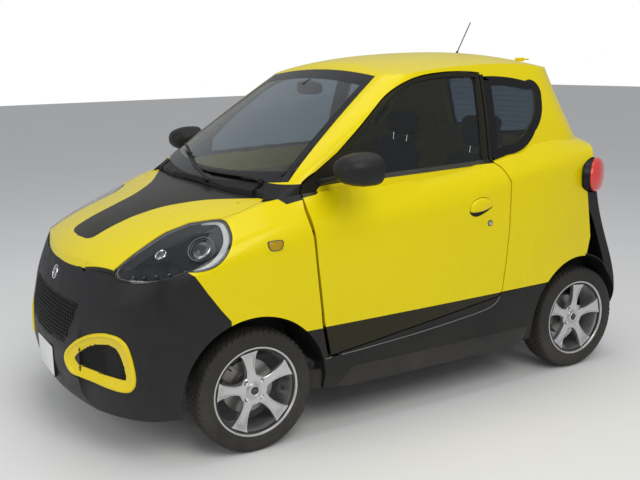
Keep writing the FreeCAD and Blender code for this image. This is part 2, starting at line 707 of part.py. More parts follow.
# Aerial on the roof, leaning back
AERIAL_FOOT = Vector(-820, 0, 1496)
AERIAL_TIP = Vector(-938, 0, 1702)
aerial_along = (AERIAL_TIP - AERIAL_FOOT).normalize()
aerial = Part.makeCone(17, 5, 68, AERIAL_FOOT, aerial_along).fuse(rod(AERIAL_FOOT, AERIAL_TIP, 2.6))
keep("aerial", leaf(aerial.cut(outer_upper)))

# Rear bumper, sills
rear_bumper = outer_lower.common(side_prism(REAR_BUMPER, -900, 900, -fixed)).cut(panel_inner)
for cutter in (tailgate_opening, both_arches, tail_lamp_hole(), mirrored(tail_lamp_hole())):
    rear_bumper = rear_bumper.cut(cutter)
keep("tail_lamps", Part.makeCompound([tail_lamp(), mirrored(tail_lamp())]))
keep("rear_bumper", leaf(rear_bumper))
sill = outer_lower.common(side_prism(SILL, 300, 900)).cut(panel_inner)
for cutter in (door_opening, arches_left, door_swing, side_prism(FENDER, 300, 900, fixed)):
    sill = sill.cut(cutter)
sill = sill.cut(side_prism(SIDE_FRAME, 300, 900, fixed))
keep("sill_covers", Part.makeCompound([leaf(sill), mirrored(leaf(sill))]))

# Wheels. Profiles are distance along the wheel's axis and radius, each as
# sign, name of a size and what is added to it.
AXLE_X = {
    "front": "Sizes.rear_overhang - Sizes.body_length / 2 + Sizes.wheelbase",
    "rear": "Sizes.rear_overhang - Sizes.body_length / 2",
}
TYRE = [
    ((-1, "rim_half_width", 5.3), (1, "bead_radius", 0.3)),
    ((-1, "rim_half_width", 5.3), (1, "rim_flange_radius", 3)),
    ((-0.5, "tyre_width", 0), (1, "tyre_radius", -38)),
    ((-0.5, "tyre_width", 6), (1, "tyre_radius", -8)),
    ((-0.5, "tyre_width", 18), (1, "tyre_radius", 0)),
    ((0.5, "tyre_width", -18), (1, "tyre_radius", 0)),
    ((0.5, "tyre_width", -6), (1, "tyre_radius", -8)),
    ((0.5, "tyre_width", 0), (1, "tyre_radius", -38)),
    ((1, "rim_half_width", -5.3), (1, "rim_flange_radius", 3)),
    ((1, "rim_half_width", -5.3), (1, "bead_radius", 0.3)),
]
BARREL = [
    ((-1, "rim_half_width", 0), (1, "bead_radius", -7)),
    ((-1, "rim_half_width", 0), (1, "rim_flange_radius", 0)),
    ((-1, "rim_half_width", 5), (1, "rim_flange_radius", 0)),
    ((-1, "rim_half_width", 5), (1, "bead_radius", 0)),
    ((1, "rim_half_width", -5), (1, "bead_radius", 0)),
    ((1, "rim_half_width", -5), (1, "rim_flange_radius", 0)),
    ((1, "rim_half_width", 0), (1, "rim_flange_radius", 0)),
    ((1, "rim_half_width", 0), (1, "bead_radius", -7)),
]
SPOKES = 5
bore_r = size["spindle_radius"] + size["pin_clearance"]


def value_of(term):
    factor, name, extra = term
    return factor * size[name] + extra


def text_of(term):
    factor, name, extra = term
    return "%g * Sizes.%s + %g" % (factor, name, extra)


def revolved_body(label, profile):
    body = doc.addObject("PartDesign::Body", label)
    sketch = body.newObject("Sketcher::SketchObject", label + "_profile")
    plane = [feature for feature in body.Origin.OriginFeatures if feature.Role == "XY_Plane"][0]
    sketch.AttachmentSupport = [(plane, "")]
    sketch.MapMode = "FlatFace"
    points = [Vector(value_of(along), value_of(radius), 0) for along, radius in profile]
    count = len(points)
    for index, point in enumerate(points):
        sketch.addGeometry(Part.LineSegment(point, points[(index + 1) % count]), False)
    for index in range(count):
        sketch.addConstraint(Sketcher.Constraint("Coincident", index, 2, (index + 1) % count, 1))
    for index, (along, radius) in enumerate(profile):
        for kind, term in (("DistanceX", along), ("DistanceY", radius)):
            number = sketch.addConstraint(Sketcher.Constraint(kind, index, 1, value_of(term)))
            sketch.setExpression("Constraints[%d]" % number, text_of(term))
    turn = body.newObject("PartDesign::Revolution", label + "_turn")
    turn.Profile = sketch
    turn.ReferenceAxis = (sketch, ["H_Axis"])
    turn.Angle = 360
    return body


def set_wheel_place(piece, place, side):
    piece.Placement = FreeCAD.Placement(Vector(0, 0, 0), FreeCAD.Rotation(Vector(0, 0, 1), 90 * side))
    piece.setExpression("Placement.Base.x", AXLE_X[place])
    piece.setExpression("Placement.Base.y", "%d * Sizes.wheel_centre_y" % side)
    piece.setExpression("Placement.Base.z", "Sizes.tyre_radius")


def ring(profile):
    wire = outline_wire(profile, lambda a, r: Vector(a, r, 0))
    return Part.Face(wire).revolve(Vector(0, 0, 0), Vector(1, 0, 0), 360)


# Spoke sections: radius, the inner face's place and half width, and the outer face's
SPOKE_SECTIONS = [
    (40, 14, 27, 44, 20),
    (100, 24, 22, 49, 15),
    (size["bead_radius"] - 4, 40, 36, 60, 31),
]
HUB = [(-32, bore_r), (-32, 34), (18, 34), (24, 58), (44, 54), (46, 0), (28, 0), (28, bore_r)]
DISC = [(-28, 30), (-28, 112), (-16, 112), (-16, 30)]
DRUM = [(-46, 60), (-46, 100), (-12, 100), (-12, 30), (-20, 30), (-20, 60)]
SPOKE_TURNS = {"front": 8.0, "rear": -6.0}


def spoke_section(radius, inner, inner_half, outer, outer_half):
    corners = [(inner, -inner_half), (inner, inner_half), (outer, outer_half), (outer, -outer_half)]
    points = [Vector(a, b, radius) for a, b in corners]
    return Part.makePolygon(points + points[:1])


def wheel_rim(brake, turn):
    barrel = ring([(value_of(along), value_of(radius)) for along, radius in BARREL])
    rim = barrel.fuse(ring(HUB)).fuse(ring(brake))
    for index in range(SPOKES):
        spoke = Part.makeLoft([spoke_section(*row) for row in SPOKE_SECTIONS], True, True)
        spoke.rotate(Vector(0, 0, 0), Vector(1, 0, 0), turn + 360.0 / SPOKES * index)
        rim = rim.fuse(spoke)
    return leaf(rim)


for place, brake in (("front", DISC), ("rear", DRUM)):
    for name, side in (("left", 1), ("right", -1)):
        rim = keep("rim_%s_%s" % (place, name), wheel_rim(brake, side * SPOKE_TURNS[place]))
        set_wheel_place(rim, place, side)
        tyre = revolved_body("tyre_%s_%s" % (place, name), TYRE)
        set_wheel_place(tyre, place, side)
        pieces.append(tyre)

# Front knuckles: hub carrier, spindle, upright with its two studs and caliper
kingpin_y = size["kingpin_y"]
wheel_y = size["wheel_centre_y"]
carrier_end = wheel_y - 32 - size["seat_gap"]
STUD = 8.0
STUD_LENGTH = 26.0
LOW_STUD = 132.0
HIGH_STUD = 372.0
knuckle = crosswise(front_axle_x, axle_z, kingpin_y - 12, carrier_end, 44)
for shape in (
    crosswise(front_axle_x, axle_z, carrier_end, wheel_y + 20, size["spindle_radius"]),
    box(front_axle_x - 20, front_axle_x + 20, kingpin_y - 12, kingpin_y + 12, LOW_STUD, HIGH_STUD),
    upright(front_axle_x, kingpin_y, LOW_STUD - STUD_LENGTH, HIGH_STUD + STUD_LENGTH, STUD),
    box(front_axle_x - 120, front_axle_x, kingpin_y - 10, kingpin_y + 8, 196, 212),
):
    knuckle = knuckle.fuse(shape)
caliper = ring([(-56, 82), (-56, 128), (-4, 128), (-4, 82), (-15, 82), (-15, 113), (-29, 113), (-29, 82)])
caliper.rotate(Vector(0, 0, 0), Vector(0, 0, 1), 90)
caliper = caliper.common(Part.makeBox(170, 200, 60, Vector(0, -100, -30)))
caliper = caliper.fuse(box(40, 118, -84, -55.5, -14, 14))
caliper.rotate(Vector(0, 0, 0), Vector(0, 1, 0), -40)
caliper.translate(Vector(front_axle_x, wheel_y, axle_z))
knuckle = leaf(knuckle.fuse(caliper))
keep("knuckle_left", knuckle)
keep("knuckle_right", mirrored(knuckle))

# Front suspension, fixed: crossmember, lower arms, struts and upper links
seat = size["seat_gap"]


def boss(z0, z1):
    return upright(front_axle_x, kingpin_y, z0, z1, 18)


arm_low = LOW_STUD - STUD_LENGTH
arm = Part.makeLoft([
    outline_wire([(-150, 136), (60, 136), (60, 168), (-150, 168)],
                 lambda x, z: Vector(front_axle_x + x, 380, z)),
    outline_wire([(-17, arm_low + 2), (17, arm_low + 2), (17, LOW_STUD - 2), (-17, LOW_STUD - 2)],
                 lambda x, z: Vector(front_axle_x + x, kingpin_y - 14, z)),
], True, True)
arm = arm.fuse(boss(arm_low, LOW_STUD - seat))
link = box(front_axle_x - 15, front_axle_x + 15, 520, kingpin_y, HIGH_STUD + seat, HIGH_STUD + STUD_LENGTH)
link = link.fuse(boss(HIGH_STUD + seat, HIGH_STUD + STUD_LENGTH))
STRUT_Y = 540.0
STRUT_RADIUS = 24.0
SPRING_RADIUS = 46.0
SPRING_TOP = 760.0
strut = upright(front_axle_x, STRUT_Y, HIGH_STUD + seat, SPRING_TOP + 40, STRUT_RADIUS)
strut = strut.fuse(upright(front_axle_x, STRUT_Y, SPRING_TOP - 178, SPRING_TOP, SPRING_RADIUS))
stud_hole = upright(front_axle_x, kingpin_y, 50, 500, STUD + size["pin_clearance"])
crossmember = box(front_axle_x - 150, front_axle_x + 60, -382, 382, 136, 168)
for side in (-120, 120):
    crossmember = crossmember.fuse(box(front_axle_x - 100, front_axle_x + 40, side - 25, side + 25, 160,
                                       size["motor_z"] - seat))
lower_set = arm.cut(stud_hole)
front_suspension = crossmember.fuse(lower_set).fuse(mirrored(lower_set))
upper_set = link.fuse(strut).cut(stud_hole)
keep("front_subframe", leaf(front_suspension))
keep("front_struts", Part.makeCompound([leaf(upper_set), mirrored(leaf(upper_set))]))

# Rear axle, fixed: twist beam, trailing arms, spindles and springs
beam = crosswise(-800, 236, -500, 500, 34)
rear_side = box(rear_axle_x - 40, -640, 500, 560, 222, 282)
for shape in (
    crosswise(-660, 250, 480, 580, 34),
    crosswise(rear_axle_x, axle_z, 560, wheel_y - 46 - seat, 50),
    crosswise(rear_axle_x, axle_z, wheel_y - 60, wheel_y - 32 - seat, 28),
    crosswise(rear_axle_x, axle_z, wheel_y - 50, wheel_y + 20, size["spindle_radius"]),
    upright(-900, 500, 280, 420, 45),
):
    rear_side = rear_side.fuse(shape)
keep("rear_axle", leaf(beam.fuse(rear_side).fuse(mirrored(rear_side))))

# Wheelhouse liners
inner_walls = {front_axle_x: 432.0, rear_axle_x: 552.0}
liners = []
for x, wall_y in inner_walls.items():
    shell = arch_cut(x, size["liner_radius"] + size["liner_wall"], wall_y, 900)
    shell = shell.cut(arch_cut(x, size["liner_radius"], wall_y + size["liner_wall"], 901))
    shell = shell.common(lower_form(size["panel_wall"] + seat)).common(box(-BIG, BIG, 0, BIG, 300, BIG))
    if x == front_axle_x:
        shell = shell.cut(box(x - 190, x + 110, wall_y - 10, wall_y + 10, 0, 380))
        shell = shell.cut(upright(x, STRUT_Y, 300, 900, STRUT_RADIUS + seat))
    liners.append(leaf(shell.cut(door_swing)))
keep("wheel_liners", Part.makeCompound(liners + [mirrored(s) for s in liners]))
liner_room_left = arch_cut(front_axle_x, liner_outer, inner_walls[front_axle_x] - seat, 1000).fuse(
    arch_cut(rear_axle_x, liner_outer, inner_walls[rear_axle_x] - seat, 1000))
liner_room = liner_room_left.fuse(mirrored(liner_room_left))

# Floor pan: floor, sills, hinge pillars, firewall, rear bulkhead, load floor and rails
CORNER_SWING = 132.0
floor_z = size["floor_z"]
floor_top = floor_z + size["floor_wall"]
floor = box(-700, 600, -640, 640, floor_z, floor_top)
for shape in (
    box(-640, 480, 640, 700, 200, 330),
    box(-640, 480, -700, -640, 200, 330),
    box(586, 600, -620, 620, floor_z, 960),
    box(385, 500, 570, 628, floor_z, 940),
    box(385, 500, -628, -570, floor_z, 940),
    box(500, 600, 600, 620, floor_z, 940),
    box(500, 600, -620, -600, floor_z, 940),
    box(-714, -700, -545, 545, floor_z, 480),
    box(-1262, -700, -545, 545, 466, 480),
    box(600, 1236, 372, 422, 300, 372),
    box(600, 1236, -422, -372, 300, 372),
    box(-1262, -1248, -480, 480, 300, 490),
    box(1222, 1236, -422, 422, 260, 540),
    box(front_axle_x - 60, front_axle_x + 60, 372, 600, 760, 790),
    box(front_axle_x - 60, front_axle_x + 60, -600, -372, 760, 790),
    box(front_axle_x - 20, front_axle_x + 20, 372, 400, 372, 760),
    box(front_axle_x - 20, front_axle_x + 20, -400, -372, 372, 760),
):
    floor = floor.fuse(shape)
eye_low, eye_high = BONNET_EYE_SPAN
for shape in (
    box(bonnet_x - 8, bonnet_x + 8, eye_low - 6, eye_low - 2, 950, bonnet_z + 6),
    box(bonnet_x - 8, bonnet_x + 8, eye_high + 2, eye_high + 6, 950, bonnet_z + 6),
    crosswise(bonnet_x, bonnet_z, eye_low - 6, eye_high + 6, bonnet_pin),
):
    floor = floor.fuse(shape).fuse(mirrored(shape))
floor = floor.cut(liner_room)
for shape in (
    door_swing,
    upright(hinge_x, hinge_y, 870, 1110, CORNER_SWING),
    upright(front_axle_x, STRUT_Y, 600, 900, STRUT_RADIUS + seat),
    upright(front_axle_x, STRUT_Y, 500, SPRING_TOP + seat, SPRING_RADIUS + seat),
):
    floor = floor.cut(shape).cut(mirrored(shape))
for hinge_z in HINGE_HEIGHTS:
    plate = box(hinge_x - 7, hinge_x + 7, 590, hinge_y, hinge_z - 4, hinge_z + 4)
    plate = plate.fuse(upright(hinge_x, hinge_y, hinge_z - 4, hinge_z + 4, 9))
    plate = plate.fuse(upright(hinge_x, hinge_y, hinge_z - 30, hinge_z + 30, pin_r))
    floor = floor.fuse(plate).fuse(mirrored(plate))
keep("floor_pan", leaf(floor))

# Battery pack and drive motor
def primitive(kind, name, sizes):
    piece = doc.addObject("Part::" + kind, name)
    for prop, text in sizes.items():
        piece.setExpression(prop, text)
    return piece


battery = primitive("Box", "battery_pack", {
    "Length": "Sizes.battery_length",
    "Width": "Sizes.battery_width",
    "Height": "Sizes.battery_height",
    "Placement.Base.x": "Sizes.battery_rear", "Placement.Base.y": "-Sizes.battery_width / 2",
    "Placement.Base.z": "Sizes.floor_z - Sizes.battery_height - Sizes.seat_gap",
})
pieces.append(battery)

motor_block = primitive("Box", "motor_block", {
    "Length": "Sizes.motor_length", "Width": "Sizes.motor_width", "Height": "Sizes.motor_height",
    "Placement.Base.x": AXLE_X["front"] + " - Sizes.motor_rear",
    "Placement.Base.y": "-Sizes.motor_width / 2",
    "Placement.Base.z": "Sizes.motor_z",
})
half_shafts = primitive("Cylinder", "half_shafts", {
    "Radius": "Sizes.shaft_radius", "Height": "2 * Sizes.shaft_reach",
})
half_shafts.Placement = FreeCAD.Placement(Vector(0, 0, 0), FreeCAD.Rotation(Vector(1, 0, 0), -90))
for prop, text in (("x", AXLE_X["front"]), ("y", "-Sizes.shaft_reach"), ("z", "Sizes.tyre_radius")):
    half_shafts.setExpression("Placement.Base." + prop, text)
drive_motor = doc.addObject("Part::MultiFuse", "drive_motor")
drive_motor.Shapes = [motor_block, half_shafts]
pieces.append(drive_motor)

# Dashboard with the steering column
tilt = math.radians(size["steering_tilt"])
axis = Vector(-math.cos(tilt), 0, math.sin(tilt))
wheel_centre = Vector(150, size["seat_offset_y"], 905)
column_end = wheel_centre - axis * 60
column_start = wheel_centre - axis * 300
DASH = [
    (585.4, 640), (585.4, 930), (520, 975), (400, 968, 300, 930), (262, 880, 268, 820), (300, 700, 400, 640),
]
dashboard = side_prism(DASH, -560, 560)
dashboard = dashboard.fuse(rod(column_start, column_end, size["column_radius"]))
dashboard = dashboard.fuse(rod(column_end, wheel_centre - axis * 20, 9.9))
keep("dashboard", dashboard)

steer_r = size["steering_radius"]
GRIP = [(-7, -12), (7, -12), (14, 0), (7, 12), (-7, 12), (-14, 0)]
across = axis.cross(Vector(0, 1, 0))
grip_wire = outline_wire(GRIP, lambda a, b: wheel_centre + axis * a + across * (steer_r + b))
grip = Part.Face(grip_wire).revolve(wheel_centre, axis, 360)
hub = rod(wheel_centre - axis * (60 - seat), wheel_centre + axis * 8, 46)
hub = hub.cut(rod(wheel_centre - axis * 60, wheel_centre - axis * 15, 10))
side_dir = Vector(0, 1, 0)
down_dir = axis.cross(side_dir)
steering = grip.fuse(hub)
for direction in (side_dir, side_dir * -1, down_dir if down_dir.z < 0 else down_dir * -1):
    sideways = axis.cross(direction)
    corners = [axis * a + sideways * b for a, b in ((-16, -16), (-4, -16), (-4, 16), (-16, 16))]
    foot = Part.makePolygon([wheel_centre + c for c in corners + corners[:1]])
    steering = steering.fuse(Part.Face(foot).extrude(direction * (steer_r - 2)))
keep("steering_wheel", leaf(steering))

# Seats
for name, side in (("left", 1), ("right", -1)):
    y = side * size["seat_offset_y"]
    w = size["seat_width"] / 2
    cushion = Part.makeLoft([
        outline_wire([(0, 400), (-470, 390), (-500, 470), (-440, 520), (-60, 560), (10, 520)],
                     lambda x, z: Vector(-40 + x, y + s * w, z)) for s in (-1, 1)], True, True)
    back = Part.makeLoft([
        outline_wire([(-400, 470), (-500, 400), (-560, 440), (-720, 1060), (-640, 1090), (-600, 1060)],
                     lambda x, z: Vector(-40 + x, y + s * w, z)) for s in (-1, 1)], True, True)
    head = box(-775, -690, y - 125, y + 125, 1080, 1250)
    post = box(-740, -715, y - 70, y + 70, 1040, 1120)
    rails = box(-480, -80, y - 190, y - 150, floor_top + seat, 420)
    rails = rails.fuse(box(-480, -80, y + 150, y + 190, floor_top + seat, 420))
    keep("seat_%s" % name, leaf(cushion.fuse(back).fuse(head).fuse(post).fuse(rails)))

doc.recompute()
for item in doc.Objects:
    if "Invalid" in item.State or "Error" in item.State:
        raise RuntimeError("bad object: " + item.Label)
for piece in pieces:
    shape = piece.Shape
    print(piece.Label, shape.isValid(), len(shape.Solids), len(shape.Faces), round(shape.Volume / 1e6, 2))
    if shape.isNull() or not shape.isValid() or "Invalid" in piece.State or "Error" in piece.State:
        raise RuntimeError("bad shape: " + piece.Label)
os.makedirs("parts", exist_ok=True)
for piece in pieces:
    piece.Shape.exportStep("parts/" + piece.Label + ".step")
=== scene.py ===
import cmath
import functools
import json
import math

import bmesh
import bpy
import numpy
from mathutils import Matrix, Vector
from mathutils.bvhtree import BVHTree

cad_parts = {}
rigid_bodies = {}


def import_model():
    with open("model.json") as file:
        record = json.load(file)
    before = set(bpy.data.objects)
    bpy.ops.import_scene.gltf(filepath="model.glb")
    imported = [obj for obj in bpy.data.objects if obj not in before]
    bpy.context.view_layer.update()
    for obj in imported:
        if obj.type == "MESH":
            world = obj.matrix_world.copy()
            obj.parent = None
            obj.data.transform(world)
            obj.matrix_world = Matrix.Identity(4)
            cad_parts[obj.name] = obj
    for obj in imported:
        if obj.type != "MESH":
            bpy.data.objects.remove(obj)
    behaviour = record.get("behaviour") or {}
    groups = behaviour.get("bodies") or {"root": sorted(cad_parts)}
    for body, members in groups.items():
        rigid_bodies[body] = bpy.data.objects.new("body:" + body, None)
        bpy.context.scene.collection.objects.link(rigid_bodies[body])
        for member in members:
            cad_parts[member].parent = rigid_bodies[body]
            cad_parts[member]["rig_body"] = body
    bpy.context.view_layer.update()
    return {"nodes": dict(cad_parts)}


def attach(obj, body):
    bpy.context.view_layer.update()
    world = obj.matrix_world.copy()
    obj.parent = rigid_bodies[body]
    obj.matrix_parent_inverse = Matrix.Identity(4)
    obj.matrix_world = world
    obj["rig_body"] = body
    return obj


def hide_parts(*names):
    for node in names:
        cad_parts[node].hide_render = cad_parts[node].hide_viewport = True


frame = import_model()
nodes = frame["nodes"]
scene = bpy.context.scene
SIDES = ((1, "left"), (-1, "right"))

# Camera
FOCAL_PIXELS, PICTURE_WIDTH, SENSOR_WIDTH = 860.8, 640, 36.0
CAMERA_PLACE = Vector((2.1449, 3.6218, 1.5365))
YAW, PITCH, ROLL = [math.radians(a) for a in (-120.518, -11.975, -1.093)]


def add_object(name, data):
    thing = bpy.data.objects.new(name, data)
    scene.collection.objects.link(thing)
    return thing


def aim_camera():
    look = Vector((math.cos(PITCH) * math.cos(YAW), math.cos(PITCH) * math.sin(YAW), math.sin(PITCH)))
    data = bpy.data.cameras.new("camera")
    data.sensor_width = SENSOR_WIDTH
    data.lens = FOCAL_PIXELS * SENSOR_WIDTH / PICTURE_WIDTH
    scene.camera = add_object("camera", data)
    turn = look.to_track_quat("-Z", "Y").to_matrix().to_4x4()
    scene.camera.matrix_world = Matrix.Translation(CAMERA_PLACE) @ turn @ Matrix.Rotation(ROLL, 4, "Z")


aim_camera()
scene.view_settings.view_transform = "Standard"


# Materials
class Shade:
    """A new material. A socket is fed a number, a colour or another node's output."""

    def __init__(self, name):
        self.material = bpy.data.materials.new(name)
        self.material.use_nodes = True
        self.tree = self.material.node_tree
        self.main = self.tree.nodes["Principled BSDF"]
        self.place = self.node("TexCoord", {}, "Object")

    def feed(self, node, sockets):
        for key, value in sockets.items() if isinstance(sockets, dict) else enumerate(sockets):
            if hasattr(value, "is_linked"):
                self.tree.links.new(value, node.inputs[key])
            else:
                node.inputs[key].default_value = (*value, 1.0) if isinstance(value, tuple) else value

    def node(self, kind, sockets, output=0, **settings):
        made = self.tree.nodes.new("ShaderNode" + kind)
        for key, value in settings.items():
            setattr(made, key, value)
        self.feed(made, sockets)
        return made.outputs[output]

    def axis(self, name):
        return self.node("SeparateXYZ", [self.place], name)

    def noise(self, scale, detail=4.0, rough=0.5):
        return self.node("TexNoise", {"Vector": self.place, "Scale": scale, "Detail": detail, "Roughness": rough})

    def between(self, value, low, high, out_low=0.0, out_high=1.0):
        return self.node("MapRange", [value, low, high, out_low, out_high])

    def patches(self, value, low=0.0, high=1.0):
        return self.between(value, 0.3, 0.7, low, high)

    def mix(self, factor, first, second):
        return self.node("Mix", {0: factor, 6: first, 7: second}, 2, data_type="RGBA")

    def maths(self, operation, first, second=0.0):
        return self.node("Math", [first, second], operation=operation)

    def step(self, value, edge, above=True):
        half = 0.0006 if above else -0.0006
        return self.between(value, edge - half, edge + half)

    def curve(self, value, table, scale=1.0):
        """The value read along a table of places and results, joined by straight lines."""
        low, high = table[0][0], table[-1][0]
        made = self.tree.nodes.new("ShaderNodeFloatCurve")
        points = made.mapping.curves[0].points
        for index, (x, result) in enumerate(table):
            spot = ((x - low) / (high - low), result / scale)
            if index < 2:
                points[index].location = spot
            else:
                points.new(*spot)
        for point in points:
            point.handle_type = "VECTOR"
        made.mapping.update()
        self.feed(made, {"Value": self.between(value, low, high)})
        return self.maths("MULTIPLY", made.outputs[0], scale)

    def done(self, colour, rough, grain, detail, strength, depth, **settings):
        bump = self.node("Bump", {"Strength": strength, "Distance": depth, "Height": self.noise(grain, detail)})
        self.feed(self.main, {"Base Color": colour, "Roughness": rough, "Normal": bump})
        self.feed(self.main, {key.replace("_", " "): value for key, value in settings.items()})
        return self.material


def grained(name, colour, vary=0.2, rough=(0.3, 0.4), grain=500.0, depth=0.00004, metallic=0.0, coat=0.0,
            strength=0.6, dirt=0.0, shine=0.5):
    shade = Shade(name)
    big = shade.noise(14.0, 5.0)
    darker, lighter = [tuple(min(1.0, c * share) for c in colour) for share in (1 - vary, 1 + vary)]
    tint = shade.mix(shade.patches(big), darker, lighter)
    if dirt:
        low = shade.between(shade.axis("Z"), 0.62, 0.16, 0.0, dirt)
        spot = shade.between(shade.noise(5.0, 8.0, 0.65), 0.35, 0.75, 0.2)
        tint = shade.mix(shade.maths("MULTIPLY", low, spot), tint, (0.16, 0.14, 0.11))
    return shade.done(tint, shade.patches(big, *rough), grain, 3.0, strength, depth, Metallic=metallic,
                      Specular_IOR_Level=shine, Coat_Weight=coat)


def glass(name, tint, rough=0.0, ior=1.45):
    shade = Shade(name)
    colour = shade.mix(shade.patches(shade.noise(3.0, 3.0)), tint, tuple(c * 0.94 for c in tint))
    shade.feed(shade.main, {"Base Color": colour, "Transmission Weight": 1.0, "Roughness": rough, "IOR": ior})
    return shade.material


YELLOW, DARK_YELLOW = (0.85, 0.695, 0.003), (0.835, 0.68, 0.003)
BLACK_FILM, FILM_ROUGHNESS = (0.006, 0.0065, 0.009), 0.42
LOWER_LINE = 0.470
# The door's waist line, as distance forward and height
WAIST = [(-0.55, 1.058), (-0.44, 1.057), (-0.2, 1.05), (0.286, 1.038), (0.40, 1.030), (0.429, 1.002),
         (0.468, 0.996), (0.50, 0.990)]
# Half width of the bonnet's black panel at each distance forward
PANEL_EDGE = [(0.50, 0.62), (0.60, 0.60), (0.64, 0.53), (0.68, 0.455), (0.715, 0.390), (0.75, 0.333), (0.79, 0.285),
              (0.83, 0.247), (0.866, 0.215), (0.90, 0.193), (0.94, 0.175), (1.02, 0.152), (1.10, 0.145), (1.17, 0.140),
              (1.185, 0.130), (1.195, 0.108), (1.200, 0.09), (1.203, 0.05), (1.204, 0.0), (1.3, 0.0)]
# The lid's straight front edge, and its slope beyond each corner
RIM_X, RIM_CORNER_Y, RIM_SLOPE = 1.2615, 0.284, 0.2574


def body_paint(name, black_mask=None):
    shade = Shade(name)
    dust = shade.between(shade.axis("Z"), 0.50, 0.28, 0.0, 0.06)
    colour = shade.mix(shade.patches(shade.noise(2.6)), DARK_YELLOW, YELLOW)
    colour = shade.mix(dust, colour, (0.34, 0.27, 0.13))
    rough = shade.patches(shade.noise(5.0, 3.0), 0.26, 0.285)
    if black_mask:
        mask = black_mask(shade)
        colour = shade.mix(mask, colour, BLACK_FILM)
        rough = shade.node("Mix", {0: mask, 2: rough, 3: FILM_ROUGHNESS}, data_type="FLOAT")
    return shade.done(colour, rough, 420.0, 2.0, 0.02, 0.0001, Specular_IOR_Level=0.35,
                      Specular_Tint=(1.0, 0.88, 0.3), Coat_Weight=0.18, Coat_Roughness=0.05)


def door_black(shade):
    """Black below the lower line, and above the waist line round the window."""
    z = shade.axis("Z")
    over = shade.maths("SUBTRACT", z, shade.curve(shade.axis("X"), WAIST, 2.0))
    return shade.maths("MAXIMUM", shade.step(z, LOWER_LINE, above=False), shade.step(over, 0.0))


def frame_black(shade):
    """Black below the lower line, and on the strip behind the door's window."""
    x, z = shade.axis("X"), shade.axis("Z")
    strip = shade.step(shade.maths("ADD", x, shade.maths("MULTIPLY", z, 0.0936)), -0.3934)
    for limit, above, value in ((1.061, True, z), (1.447, False, z), (-0.36, False, x)):
        strip = shade.maths("MULTIPLY", strip, shade.step(value, limit, above))
    return shade.maths("MAXIMUM", shade.step(z, LOWER_LINE, above=False), strip)


def bonnet_panel(shade):
    """Black on the bonnet's middle, and in front of the straight edge that the yellow lip covers."""
    x, half = shade.axis("X"), shade.maths("ABSOLUTE", shade.axis("Y"))
    over = shade.maths("SUBTRACT", shade.curve(x, PANEL_EDGE), half)
    beyond = shade.maths("MAXIMUM", shade.maths("SUBTRACT", half, RIM_CORNER_Y))
    rim = shade.step(shade.maths("ADD", x, shade.maths("MULTIPLY", beyond, RIM_SLOPE)), RIM_X)
    return shade.maths("MAXIMUM", shade.step(over, 0.0), rim)


paint = body_paint("lemon_paint")
door_paint = body_paint("lemon_paint_door", door_black)
frame_paint = body_paint("lemon_paint_side", frame_black)
lid_paint = body_paint("lemon_paint_black_panel", bonnet_panel)
bumper_black = grained("grained_black_plastic", (0.013, 0.013, 0.0145), rough=(0.42, 0.58), grain=1100.0,
                       depth=0.00015, dirt=0.12, shine=0.3)
bumper_dark = grained("grained_dark_sill", (0.010, 0.010, 0.0105), rough=(0.45, 0.6), grain=1000.0, depth=0.0001,
                      dirt=0.12, shine=0.3)
sill_grey = grained("sill_grey_plastic", (0.018, 0.018, 0.019), rough=(0.4, 0.55), grain=900.0, depth=0.00015,
                    dirt=0.2, shine=0.35)
trim_black = grained("trim_black", (0.011, 0.011, 0.012), rough=(0.45, 0.6), grain=1300.0, depth=0.0001, shine=0.3)
ring_yellow = grained("yellow_plastic", (0.85, 0.66, 0.005), 0.04, (0.3, 0.38), coat=0.15, shine=0.35)
steel_dark = grained("primer_dark", (0.055, 0.055, 0.058), 0.3, (0.45, 0.65), 300.0, 0.0001, dirt=0.3)
cast = grained("cast_metal", (0.26, 0.25, 0.24), 0.35, (0.4, 0.65), 260.0, 0.0003, metallic=0.8, strength=0.8)
alloy = grained("alloy_silver", (0.60, 0.60, 0.61), 0.08, (0.26, 0.36), 700.0, metallic=0.85, coat=0.3)
chrome = grained("chrome", (0.82, 0.83, 0.85), 0.03, (0.05, 0.09), 200.0, 0.00001, metallic=1.0, strength=0.1)
rubber = grained("tyre_rubber", (0.017, 0.0165, 0.016), 0.3, (0.62, 0.82), 420.0, 0.0002, dirt=0.3, shine=0.4)
cloth = grained("seat_cloth", (0.030, 0.030, 0.034), 0.3, (0.8, 0.95), 1600.0, 0.0004, strength=0.9)
red_lens = grained("red_lens", (0.72, 0.045, 0.04), 0.06, (0.1, 0.16), 300.0, 0.00002, coat=0.6)
lamp_black = grained("lamp_black", (0.006, 0.006, 0.007), shine=0.25)
lamp_grey = grained("lamp_bezel_grey", (0.20, 0.20, 0.21), 0.1, metallic=0.5)
lamp_white = grained("lamp_white", (0.78, 0.78, 0.76), 0.05, grain=400.0, depth=0.00003, coat=0.3)
# Black frit for the glass borders; the same black is also painted shade in the door handles' recesses
frit_and_painted_shade_black = grained("frit_and_painted_shade_black", (0.005, 0.005, 0.006), 0.2, (0.12, 0.18), 600.0, 0.00002, shine=0.35)
copper_line = grained("heater_line", (0.25, 0.12, 0.07), 0.1, (0.4, 0.5), 400.0, 0.00002, metallic=0.6)
seal_grey = grained("seal_grey", (0.05, 0.05, 0.053), 0.2, (0.4, 0.5), 700.0, 0.00005, shine=0.35)
seal_black = grained("seal_black", (0.007, 0.007, 0.007), 0.2, (0.55, 0.7), 700.0, 0.00008, shine=0.3)
mesh_dark = grained("grille_dark", (0.004, 0.004, 0.0045), 0.2, (0.5, 0.65), 500.0, 0.00005, shine=0.2)
plate_white = grained("plate_white", (0.78, 0.78, 0.77), 0.03, (0.3, 0.38), 400.0)
reflector_red = grained("reflector_red", (0.45, 0.012, 0.012), 0.08, (0.12, 0.2), coat=0.6)
